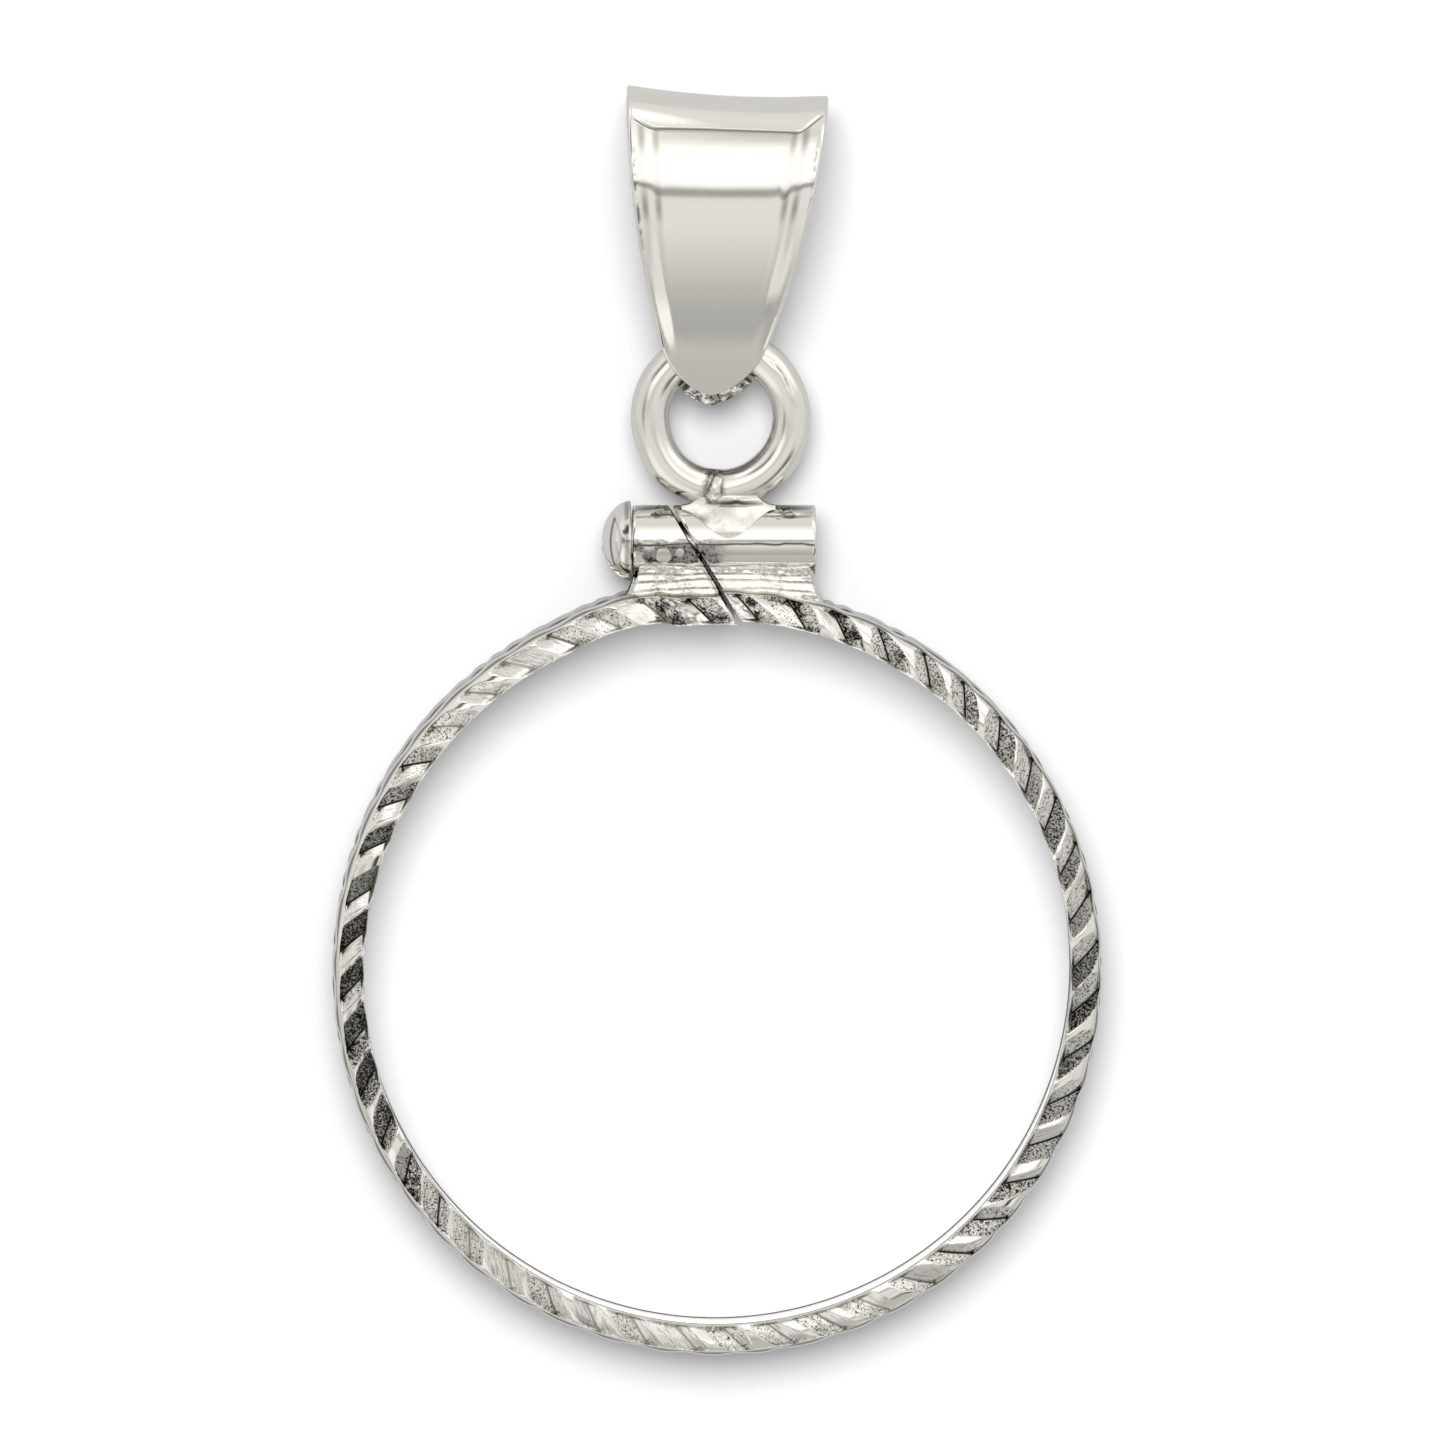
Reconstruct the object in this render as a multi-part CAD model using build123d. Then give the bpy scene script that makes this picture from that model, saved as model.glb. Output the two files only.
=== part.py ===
"""A screw-top coin bezel pendant in silver, lying on its back with its bail lying beyond it.

A split channel ring holds a coin by its edge. The ring carries a small barrel, sawn through on the
slant together with the ring, and a slotted screw draws the two halves of the barrel together. A
closed ring of round wire stands on the barrel, and a tapered strap bail, folded over for the
chain, hangs in it. The front and back edges of the channel ring are cut with slanting facets.

Lengths are in millimetres. The origin is the middle of the coin's seat. X runs along the barrel,
from the screw's head to its tip, Y runs from the coin to the bail, and Z up out of the front.
"""

from build123d import *
import math
import os

# The coin that the bezel is made for, and the room round it.
coin_diameter = 19.05
coin_thickness = 1.52
coin_play = 0.04

# The channel ring: its wall, its two lips, and the waist line round its outside.
rim_wall = 0.46
lip_overlap = 0.32
lip_thickness = 0.55
crown_radius = 0.68
crown_inset = 0.20
shoulder = 0.15
waist_width = 0.24
waist_depth = 0.07
waist_drop = 0.25

# The slanting facets of the front edge: one vee for each, a short flank and a long one.
facet_count = 48
facet_slant = 45.0
facet_depth = 0.17
facet_short_flank = 0.34
facet_long_flank = 0.46

# The finer notches of the back edge.
notch_count = 96
notch_width = 0.46
notch_depth = 0.09

# The barrel of the screw clasp, its solder seat on the ring and the saw cut through them.
barrel_diameter = 1.84
barrel_length = 4.77
barrel_offset = 0.185
barrel_lift = 0.27
seat_depth = 1.50
seat_inset = 0.08
seat_flare = 0.30
kerf_width = 0.13
kerf_angle = 31.0
kerf_offset = -0.66

# The slotted screw.
screw_diameter = 1.00
screw_play = 0.05
screw_recess = 0.20
head_diameter = 2.08
head_height = 0.76
head_rim = 0.16
head_gap = 0.04
slot_width = 0.24
slot_depth = 0.30
slot_turn = 62.0

# The closed wire ring on the barrel, and the foot of solder under it.
wire_diameter = 1.00
loop_diameter = 4.68
loop_offset = 0.10
loop_sink = 0.06
foot_width = 1.40
foot_offset = 0.22
foot_flare = 0.30
foot_depth = 0.92
foot_sink = 0.24

# The bail: a strap folded over the chain, with a bulging front that carries a bordered panel. It
# leans in its own plane, and has slipped a few degrees round the wire ring from the ring's top.
bail_length = 7.85
bail_width = 5.25
bail_depth = 3.60
bail_wall = 0.42
bail_tail = 1.25
bail_tip_depth = 1.40
bail_crest = 3.70
bail_play = 0.08
bail_lean = 3.1
bail_slip = 5.9
bail_rest_gap = 0.02
bail_flare = 0.15
bail_tip_length = 0.30
bail_tip_width = 1.74
border_margin = 0.16
border_spacing = 0.30
border_line = 0.10
border_depth = 0.07
panel_top_drop = 0.74

# The bail's edge between its tip and its top: half of it seen from the front, as one arc. The
# height is a share of bail_length from the tip, and the half width a share of half of bail_width.
BAIL_EDGE_MIDDLE = {"height": 0.56, "half_width": 0.828}

coin_radius = coin_diameter / 2
groove_radius = coin_radius + coin_play
lip_radius = coin_radius - lip_overlap
outer_radius = groove_radius + rim_wall
half_groove = coin_thickness / 2 + coin_play
half_height = half_groove + lip_thickness

barrel_radius = barrel_diameter / 2
barrel_y = outer_radius + barrel_lift + barrel_radius
barrel_left = barrel_offset - barrel_length / 2
barrel_right = barrel_offset + barrel_length / 2

wire_radius = wire_diameter / 2
loop_radius = loop_diameter / 2 - wire_radius
loop_y = barrel_y + barrel_radius - loop_sink + loop_diameter / 2

# The bail's own origin is the middle of the wire that it hangs on, with Y towards its fold. Seen
# from the side its back is a straight line that touches two circles, round the wire with its play
# and round the back half of the fold.
fold_radius = bail_depth / 2
fold_distance = bail_length - bail_tail - fold_radius
hook_radius = wire_radius + bail_play + bail_wall
leaf_drop = fold_radius - bail_tip_depth / 2
leaf_run = bail_crest + bail_tail
front_leaf_radius = (leaf_run**2 + leaf_drop**2) / (2 * leaf_drop)
rest_angle = math.degrees(math.asin((fold_radius + bail_rest_gap - half_height) / fold_distance))

# How far a cutting tool runs past what it cuts, and a joined shape into its neighbour, and how
# far the middle of a hollow solder fillet stands out, as a share of the fillet's foot.
PAST = 1.0
SINK = 0.10
FILLET_BOW = 0.3


def channel_ring() -> Part:
    """The channel ring: a section with two lips, a crowned front and a waist, turned round Z."""
    crown_top = lip_radius + crown_inset
    crown_fall = outer_radius - crown_top
    inner_edge = half_height - crown_radius + math.sqrt(crown_radius**2 - crown_inset**2)
    outer_edge = half_height - crown_radius + math.sqrt(crown_radius**2 - crown_fall**2)
    waist_top = outer_edge - waist_drop
    profile = Polyline(
        (outer_radius, outer_edge),
        (outer_radius, waist_top),
        (outer_radius - waist_depth, waist_top - waist_width / 2),
        (outer_radius, waist_top - waist_width),
        (outer_radius, shoulder - half_height),
        (outer_radius - shoulder, -half_height),
        (lip_radius, -half_height),
        (lip_radius, -half_groove),
        (groove_radius, -half_groove),
        (groove_radius, half_groove),
        (lip_radius, half_groove),
        (lip_radius, inner_edge),
    )
    crown = ThreePointArc((lip_radius, inner_edge), (crown_top, half_height), (outer_radius, outer_edge))
    return revolve(Plane.XZ * make_face([profile, crown]), Axis.Z)


def front_vee() -> Part:
    """One vee that cuts a front facet, where it meets the top of the ring, with its slanting line."""
    spread = 1 + PAST / facet_depth
    face = make_face(
        Polyline(
            (0, -facet_depth),
            (-facet_short_flank * spread, PAST),
            (facet_long_flank * spread, PAST),
            close=True,
        )
    )
    tool = extrude(Plane.XZ * face, 2 * (outer_radius - lip_radius), both=True)
    return Pos(0, (lip_radius + outer_radius) / 2, half_height) * Rot(0, 0, facet_slant) * tool


def back_notch() -> Part:
    """One vee that cuts a notch in the bevel of the back edge, where it meets the ring's top."""
    face = make_face(
        Polyline(
            (0, -notch_depth),
            (-notch_width, notch_depth),
            (notch_width, notch_depth),
            close=True,
        )
    )
    tool = extrude(Plane.XZ * face, 4 * shoulder, both=True)
    return Pos(0, outer_radius - shoulder / 2, shoulder / 2 - half_height) * Rot(-135, 0, 0) * tool


def round_the_ring(tool: Part, count: int) -> list:
    """Copies of a tool, turned round Z in equal steps, with the first a half step from the top."""
    step = 360 / count
    return [Rot(0, 0, (i + 0.5) * step) * tool for i in range(count)]


def plate(outline: list, depth: float) -> Part:
    """A closed outline in the plane of the ring, given an even depth to both sides of it."""
    return extrude(make_face(outline), depth / 2, both=True)


def barrel_seat() -> Part:
    """The solder seat between ring and barrel, whose ends curve out onto the ring."""
    half = barrel_length / 2 - seat_inset
    wide = half + seat_flare
    farthest = abs(barrel_offset) + wide
    foot = math.sqrt(outer_radius**2 - farthest**2) - SINK
    neck = barrel_y - barrel_radius / 2
    bow = (half + seat_flare * FILLET_BOW, (neck + foot) / 2)
    outline = [
        Polyline((-half, neck), (-half, barrel_y), (half, barrel_y), (half, neck)),
        ThreePointArc((half, neck), bow, (wide, foot)),
        Line((wide, foot), (-wide, foot)),
        ThreePointArc((-wide, foot), (-bow[0], bow[1]), (-half, neck)),
    ]
    hollow = Cylinder(groove_radius + rim_wall / 2, 4 * half_height)
    return Pos(barrel_offset, 0, 0) * plate(outline, seat_depth) - hollow


def loop_foot() -> Part:
    """The foot of solder that joins the wire ring to the top of the barrel."""
    base = barrel_y + barrel_radius - foot_sink
    top = loop_y - loop_radius
    half = foot_width / 2
    wide = half + foot_flare
    bow = (half + foot_flare * FILLET_BOW, (base + top) / 2)
    outline = [
        Line((-wide, base), (wide, base)),
        ThreePointArc((wide, base), bow, (half, top)),
        Line((half, top), (-half, top)),
        ThreePointArc((-half, top), (-bow[0], bow[1]), (-wide, base)),
    ]
    return Pos(loop_offset + foot_offset, 0, 0) * plate(outline, foot_depth)


def on_barrel(shape: Part) -> Part:
    """A shape made round its own Z, laid on the barrel's axis with its Z towards the screw's tip."""
    return Pos(0, barrel_y, 0) * Rot(0, 90, 0) * shape


def saw_cut() -> Part:
    """The slanting saw cut through barrel, seat and ring, which stops short of the wire ring."""
    above = barrel_radius / math.cos(math.radians(kerf_angle)) + SINK
    below = 2 * (barrel_y - lip_radius)
    blade = Pos(0, (above - below) / 2, 0) * Box(kerf_width, above + below, 4 * half_height)
    return Pos(kerf_offset, barrel_y, 0) * Rot(0, 0, kerf_angle) * blade


def bezel_ring() -> Part:
    """Ring, seat, barrel, foot and wire ring as the one soldered piece, with its bore and saw cut."""
    ring = channel_ring()
    ring -= round_the_ring(front_vee(), facet_count) + round_the_ring(back_notch(), notch_count)
    barrel = on_barrel(Pos(0, 0, barrel_offset) * Cylinder(barrel_radius, barrel_length))
    bore = on_barrel(Pos(0, 0, barrel_offset) * Cylinder(screw_diameter / 2 + screw_play, 2 * barrel_length))
    loop = Pos(loop_offset, loop_y, 0) * Torus(loop_radius, wire_radius)
    return ring + barrel_seat() + barrel - bore + loop_foot() + loop - bore - saw_cut()


def clamp_screw() -> Part:
    """The screw: a plain shank nearly the length of the barrel, and a domed head with a slot."""
    shank_length = head_gap + barrel_length - screw_recess
    shank = Pos(0, 0, shank_length / 2) * Cylinder(screw_diameter / 2, shank_length)
    head_radius = head_diameter / 2
    dome = head_height - head_rim
    dome_radius = (head_radius**2 + dome**2) / (2 * dome)
    turn = math.asin(head_radius / dome_radius) / 2
    dome_middle = (dome_radius * math.sin(turn), dome_radius * (1 - math.cos(turn)) - head_height)
    section = [
        Polyline((0, -head_height), (0, 0), (head_radius, 0), (head_radius, -head_rim)),
        ThreePointArc((head_radius, -head_rim), dome_middle, (0, -head_height)),
    ]
    head = revolve(Plane.XZ * make_face(section), Axis.Z)
    slot = Rot(0, 0, slot_turn) * Box(slot_width, 2 * head_diameter, 2 * slot_depth)
    head -= Pos(0, 0, -head_height) * slot
    return Pos(barrel_left - head_gap, 0, 0) * on_barrel(shank + head)


def side_view(inset: float, rise: float, foot: float) -> Face:
    """The bail's side in its YZ plane, an inset inside its outer face, down to its foot.

    The front is an arc from the foot to the crest, then a quarter of an ellipse over the fold. The
    back is a quarter of a circle and a straight line. A rise makes the fold that much longer.
    """
    top = bail_length - bail_tail - inset + rise
    half = fold_radius - inset
    centre = top - half
    angle = math.asin((fold_radius - hook_radius) / fold_distance)
    touch = (centre - half * math.sin(angle), -half * math.cos(angle))
    back_foot = touch[1] + (touch[0] - foot) * math.tan(angle)
    leaf_radius = front_leaf_radius - inset
    front_foot = half - leaf_radius + math.sqrt(leaf_radius**2 - (bail_crest - foot) ** 2)
    bend = -math.pi / 4 - angle / 2
    back_middle = (centre + half * math.cos(bend), half * math.sin(bend))
    leaf_middle = (bail_crest + foot) / 2
    leaf_height = half - leaf_radius + math.sqrt(leaf_radius**2 - (bail_crest - leaf_middle) ** 2)
    edges = [
        EllipticalCenterArc((bail_crest, 0), top - bail_crest, half, start_angle=0, arc_size=90),
        ThreePointArc((bail_crest, half), (leaf_middle, leaf_height), (foot, front_foot)),
        Line((foot, front_foot), (foot, back_foot)),
        Line((foot, back_foot), touch),
        ThreePointArc(touch, back_middle, (top, 0)),
    ]
    return Plane.YZ * make_face(edges)


def bail_form(inset: float, foot: float) -> Part:
    """The side view carried across the strap, a little longer at its edges than in its middle."""
    half = bail_width / 2 + PAST
    rise = bail_flare * (2 * half / bail_width) ** 2
    sections = [
        Pos(-half, 0, 0) * side_view(inset, rise, foot),
        side_view(inset, 0, foot),
        Pos(half, 0, 0) * side_view(inset, rise, foot),
    ]
    return loft(sections)


def bail_outline(margin: float) -> list:
    """The bail's edges seen from the front, a margin inside the strap's own edge."""
    tip_half = bail_tip_width / 2 - margin
    tip_top = bail_tip_length + margin / 2 - bail_tail
    middle_half = BAIL_EDGE_MIDDLE["half_width"] * bail_width / 2 - margin
    middle_y = BAIL_EDGE_MIDDLE["height"] * bail_length - bail_tail
    top_half = bail_width / 2 - margin
    top_y = bail_length - bail_tail
    end_y = top_y + PAST
    return [
        ThreePointArc((-tip_half, tip_top), (0, margin - bail_tail), (tip_half, tip_top)),
        ThreePointArc((tip_half, tip_top), (middle_half, middle_y), (top_half, top_y)),
        Polyline((top_half, top_y), (top_half, end_y), (-top_half, end_y), (-top_half, top_y)),
        ThreePointArc((-top_half, top_y), (-middle_half, middle_y), (-tip_half, tip_top)),
    ]


def border_lines(skin: Part) -> list:
    """The two grooves that follow the strap's edge on its front, up to the top of the panel."""
    front = Pos(0, 0, bail_depth / 2) * Box(2 * bail_width, 4 * bail_length, bail_depth)
    panel_top = bail_length - bail_tail - panel_top_drop
    above = Pos(0, panel_top + bail_length, 0) * Box(2 * bail_width, 2 * bail_length, 4 * bail_depth)
    tools = []
    for i in range(2):
        margin = border_margin + i * border_spacing
        outer = plate(bail_outline(margin), 4 * bail_depth)
        inner = plate(bail_outline(margin + border_line), 4 * bail_depth)
        tools.append((skin & (outer - inner) & front) - above)
    return tools


def bail() -> Part:
    """The strap bail, hung round the wire ring, leaning a little and resting on its back."""
    outside = bail_form(0, -bail_tail)
    inside = bail_form(bail_wall, -wire_radius - bail_play)
    strap = (outside - inside) & plate(bail_outline(0), 4 * bail_depth)
    strap -= border_lines(outside - bail_form(border_depth, -bail_tail))
    slip = math.radians(bail_slip)
    hung_at = Pos(-loop_radius * math.sin(slip), loop_radius * math.cos(slip), 0)
    placed = hung_at * Rot(0, 0, -bail_lean) * Rot(rest_angle, 0, 0) * strap
    return Pos(loop_offset, loop_y, 0) * (placed - Torus(loop_radius, wire_radius + bail_play))


NODES = {
    "bezel_ring": bezel_ring,
    "clamp_screw": clamp_screw,
    "bail": bail,
}

os.makedirs("parts", exist_ok=True)
for name, make in NODES.items():
    export_step(make(), f"parts/{name}.step")
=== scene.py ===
"""Dresses a screw-top coin bezel in silver, lying on its back on a white table.

Each sub-assembly is a class that holds its sizes in millimetres and builds its meshes from grids of
points worked out with numpy. Everything shares one frame: the origin is the middle of the coin's
seat, X runs along the screw, Y from the coin to the bail, and Z up out of the front.
"""

import logging
import math
from collections.abc import Callable
from dataclasses import dataclass, field
from enum import Enum
from functools import partial
from itertools import product

import bpy
import numpy as np
from bpy.types import ID, Material, Node, NodeSocket, NodeTree, Object, World
from mathutils import Matrix, Vector
from numpy import ndarray as Array


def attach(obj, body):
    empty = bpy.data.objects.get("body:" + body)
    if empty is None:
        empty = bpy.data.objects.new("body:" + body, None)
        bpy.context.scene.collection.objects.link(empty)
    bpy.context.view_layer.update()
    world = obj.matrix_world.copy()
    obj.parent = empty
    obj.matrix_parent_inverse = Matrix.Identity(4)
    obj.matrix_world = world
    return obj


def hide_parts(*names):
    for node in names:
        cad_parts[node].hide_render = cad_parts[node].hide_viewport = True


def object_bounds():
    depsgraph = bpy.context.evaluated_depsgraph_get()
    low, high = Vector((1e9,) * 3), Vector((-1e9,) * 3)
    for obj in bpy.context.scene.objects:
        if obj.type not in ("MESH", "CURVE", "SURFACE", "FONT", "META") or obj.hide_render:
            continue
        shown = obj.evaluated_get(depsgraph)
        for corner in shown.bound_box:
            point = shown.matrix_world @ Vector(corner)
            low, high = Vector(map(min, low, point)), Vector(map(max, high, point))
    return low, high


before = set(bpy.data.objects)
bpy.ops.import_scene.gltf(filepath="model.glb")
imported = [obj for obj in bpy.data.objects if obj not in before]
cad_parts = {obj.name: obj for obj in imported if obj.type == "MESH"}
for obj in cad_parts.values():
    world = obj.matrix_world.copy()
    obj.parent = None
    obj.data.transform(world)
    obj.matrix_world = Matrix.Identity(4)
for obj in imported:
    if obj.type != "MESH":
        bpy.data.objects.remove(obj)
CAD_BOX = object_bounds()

LOG = logging.getLogger("coin_bezel")
MM = 0.001
TAU = 2 * math.pi
SHARP_ANGLE = math.radians(38)
MIX_A, MIX_B = 6, 7  # the Mix node's two colour inputs
FLOOR_Z = CAD_BOX[0][2] / MM
SQUARE = ((-1, -1), (1, -1), (1, 1), (-1, 1))


class Slot(Enum):
    """The record's material slots."""

    CAST = "cast_silver"
    TURNED = "turned_silver"
    POLISHED = "polished_silver"


def linear(code: str) -> tuple:
    """Turns an sRGB hex colour into the linear colour that the shaders take.

    Args:
        code: Six hex digits after a hash sign.

    Returns:
        Red, green, blue and an alpha of one.
    """
    parts = [int(code[i : i + 2], 16) / 255 for i in (1, 3, 5)]
    return tuple(c / 12.92 if c <= 0.04045 else ((c + 0.055) / 1.055) ** 2.4 for c in parts) + (1.0,)


def add_node(tree: NodeTree, kind: str, inputs: dict = None, **settings: object) -> Node:
    """Adds one shader node, sets its properties, and fills or links its inputs.

    Args:
        tree: The node tree that takes the node.
        kind: Blender's name for the node's type, without its ShaderNode.
        inputs: For each named or numbered input, a value, another node's output, or another node,
            whose first output in use is then linked. None leaves the input as it is.
        settings: Properties of the node, by name.

    Returns:
        The new node.
    """
    node = tree.nodes.new("ShaderNode" + kind)
    for key, value in settings.items():
        setattr(node, key, value)
    for key, value in (inputs or {}).items():
        if isinstance(value, Node):
            value = next(output for output in value.outputs if output.enabled)
        if isinstance(value, NodeSocket):
            tree.links.new(value, node.inputs[key])
        elif value is not None:
            node.inputs[key].default_value = value
    return node


def empty_tree(owner: Material | World) -> Callable:
    """Gives a material or world an empty node tree, and returns add_node for that tree."""
    owner.use_nodes = True
    owner.node_tree.nodes.clear()
    return partial(add_node, owner.node_tree)


def add_object(name: str, data: ID) -> Object:
    """Makes an object of a mesh, a light or a camera, and links it to the scene."""
    obj = bpy.data.objects.new(name, data)
    bpy.context.scene.collection.objects.link(obj)
    return obj


def ease(low: float, high: float, value: Array) -> Array:
    """A smooth step: 3 t squared less 2 t cubed, with t running from 0 at low to 1 at high."""
    t = np.clip((value - low) / (high - low), 0, 1)
    return t * t * (3 - 2 * t)


def hump(centre: float, reach: float, value: Array) -> Array:
    """A smooth hump of height one at centre: the square of 1 less the squared distance in reaches."""
    return np.clip(1 - ((value - centre) / reach) ** 2, 0, 1) ** 2


def soft_min(first: Array, second: Array, blend: float) -> Array:
    """The smaller of two heights, rounded over where they lie within blend of each other."""
    share = np.clip(0.5 + 0.5 * (second - first) / blend, 0, 1)
    return second + (first - second) * share - blend * share * (1 - share)


def soft_noise(points: Array, cell: float, seed: int) -> Array:
    """Smooth noise from -1 to 1: a hashed value at each lattice corner, eased between the corners.

    Args:
        points: Positions, with X, Y and Z on the last axis.
        cell: The lattice's spacing, in the same unit.
        seed: Picks another lattice of values.

    Returns:
        One value for each position.
    """
    scaled = points / cell
    base = np.floor(scaled)
    part = ease(0, 1, scaled - base)
    base = base.astype(np.int64)
    total = np.zeros(points.shape[:-1])
    for corner in product((0, 1), repeat=3):
        lattice = (base + np.array(corner)).astype(np.uint64)
        mixed = lattice[..., 0] * np.uint64(374761393) + lattice[..., 1] * np.uint64(668265263)
        mixed = mixed + lattice[..., 2] * np.uint64(2246822519) + np.uint64(seed * 3266489917)
        mixed = (mixed ^ (mixed >> np.uint64(13))) * np.uint64(1274126177)
        mixed = (mixed ^ (mixed >> np.uint64(16))) & np.uint64(0xFFFF)
        weight = np.prod(np.where(np.array(corner) == 1, part, 1 - part), axis=-1)
        total += weight * (mixed.astype(float) / 32767.5 - 1)
    return total


def layered_noise(points: Array, cell: float, seed: int, layers: int = 3) -> Array:
    """Noise of several sizes: each layer has half the cell and half the height of the one before."""
    return sum(soft_noise(points, cell / 2**i, seed + i) / 2**i for i in range(layers))


def points_at(x: Array, y: Array, z: Array) -> Array:
    """Points from their coordinates, spread to one shape, with X, Y and Z on a new last axis."""
    return np.stack(np.broadcast_arrays(x, y, z), axis=-1)


def loft_mesh(
    name: str, sections: Array, fields: dict = None, closed: bool = False, sharp: float = SHARP_ANGLE
) -> Object:
    """Builds one closed mesh from a stack of closed sections.

    Neighbouring sections are joined by quads. The first and last are filled with one face each,
    unless the stack closes on itself. If the quads' signed volume, the sum of a . (b x c) / 6, is
    negative, every face is turned round, so that faces point outwards.

    Args:
        name: The new object's name.
        sections: Points in millimetres, by section, place round the section, and X, Y, Z.
        fields: Named values for each point, one number or three.
        closed: Whether the last section joins on to the first.
        sharp: Edges that turn by more than this angle are shaded sharp.

    Returns:
        The object, linked to the scene, at the origin.
    """
    count, around = sections.shape[:2]
    index = np.arange(count * around).reshape(count, around)
    here = index if closed else index[:-1]
    there = np.roll(index, -1, axis=0) if closed else index[1:]
    corners = [here, np.roll(here, -1, axis=1), np.roll(there, -1, axis=1), there]
    quads = np.stack(corners, axis=-1).reshape(-1, 4)
    caps = [] if closed else [index[0][::-1], index[-1]]
    flat = sections.reshape(-1, 3)
    centred = flat - flat.mean(axis=0)
    a, b, c, d = (centred[quads[:, i]] for i in range(4))
    volume = np.sum(a * np.cross(b, c)) + np.sum(a * np.cross(c, d))
    if volume < 0:
        quads = quads[:, ::-1]
        caps = [cap[::-1] for cap in caps]
    sizes = np.concatenate([np.full(len(quads), 4), [len(cap) for cap in caps]]).astype(np.int32)
    loops = np.concatenate([quads.ravel()] + caps).astype(np.int32)
    starts = np.concatenate([[0], np.cumsum(sizes)[:-1]]).astype(np.int32)
    mesh = bpy.data.meshes.new(name)
    mesh.vertices.add(len(flat))
    mesh.vertices.foreach_set("co", (flat * MM).astype(np.float32).ravel())
    mesh.loops.add(len(loops))
    mesh.loops.foreach_set("vertex_index", loops)
    mesh.polygons.add(len(sizes))
    mesh.polygons.foreach_set("loop_start", starts)
    mesh.update(calc_edges=True)
    mesh.polygons.foreach_set("use_smooth", np.ones(len(sizes), bool))
    mesh.set_sharp_from_angle(angle=sharp)
    for key, values in (fields or {}).items():
        kind, target = ("FLOAT_VECTOR", "vector") if values.ndim == 3 else ("FLOAT", "value")
        layer = mesh.attributes.new(key, kind, "POINT")
        layer.data.foreach_set(target, values.astype(np.float32).ravel())
    mesh.validate()
    return add_object(name, mesh)


class Finish:
    """What the finishes share: a material whose surface shader takes what the finish works out."""

    name: str

    def surface(self, add: Callable) -> dict:
        """Works out the surface.

        Args:
            add: Adds a node to the material's tree, as add_node does.

        Returns:
            A value or a node for each input of the surface shader that the finish sets.
        """
        raise NotImplementedError

    def material(self) -> Material:
        """Builds the material."""
        material = bpy.data.materials.new(self.name)
        add = empty_tree(material)
        add("OutputMaterial", {"Surface": add("BsdfPrincipled", self.surface(add))})
        return material


@dataclass(frozen=True)
class PolishedSilver(Finish):
    """Sterling silver, buffed on a wheel: a warm white mirror with the faintest hairlines, and
    specks of polishing dirt. The same dark paints shade along the bail's crease and under its panel's
    top edge, draws dark lines along its border grooves, and paints dark reflection lines on the
    screw's dome. Real hairlines are too fine to show, so these are coarser.
    """

    name: str = "polished_silver"
    colour: str = "#EFECE4"
    # The dark for specks of dirt, also used for painted shade and painted reflection lines.
    dirt: str = "#3A362F"
    roughness: float = 0.08
    ripple_mm: float = 1.6
    ripple_height_mm: float = 0.004
    hairline_mm: float = 0.05
    hairline_stretch: float = 0.06
    hairline_height_mm: float = 0.0006

    def surface(self, add: Callable) -> dict:
        """Soft buffing ripples under fine hairlines, dark by the mesh's field of dirt and painted shade."""
        place = add("TexCoord").outputs["Object"]
        along = add("Mapping", {"Vector": place, "Scale": (1.0, self.hairline_stretch, 1.0)})
        ripple = add("TexNoise", {"Vector": place, "Scale": 1 / (self.ripple_mm * MM), "Detail": 1.0})
        hairline = add("TexNoise", {"Vector": along, "Scale": 1 / (self.hairline_mm * MM), "Detail": 2.0})
        soft = add("Bump", {"Height": ripple, "Distance": self.ripple_height_mm * MM})
        fine = add("Bump", {"Height": hairline, "Distance": self.hairline_height_mm * MM, "Normal": soft})
        dirt = add("Attribute", attribute_name="dirt").outputs["Fac"]
        colours = {"Factor": dirt, MIX_A: linear(self.colour), MIX_B: linear(self.dirt)}
        colour = add("Mix", colours, data_type="RGBA")
        return {"Base Color": colour, "Metallic": 1.0, "Roughness": self.roughness, "Normal": fine}


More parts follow.
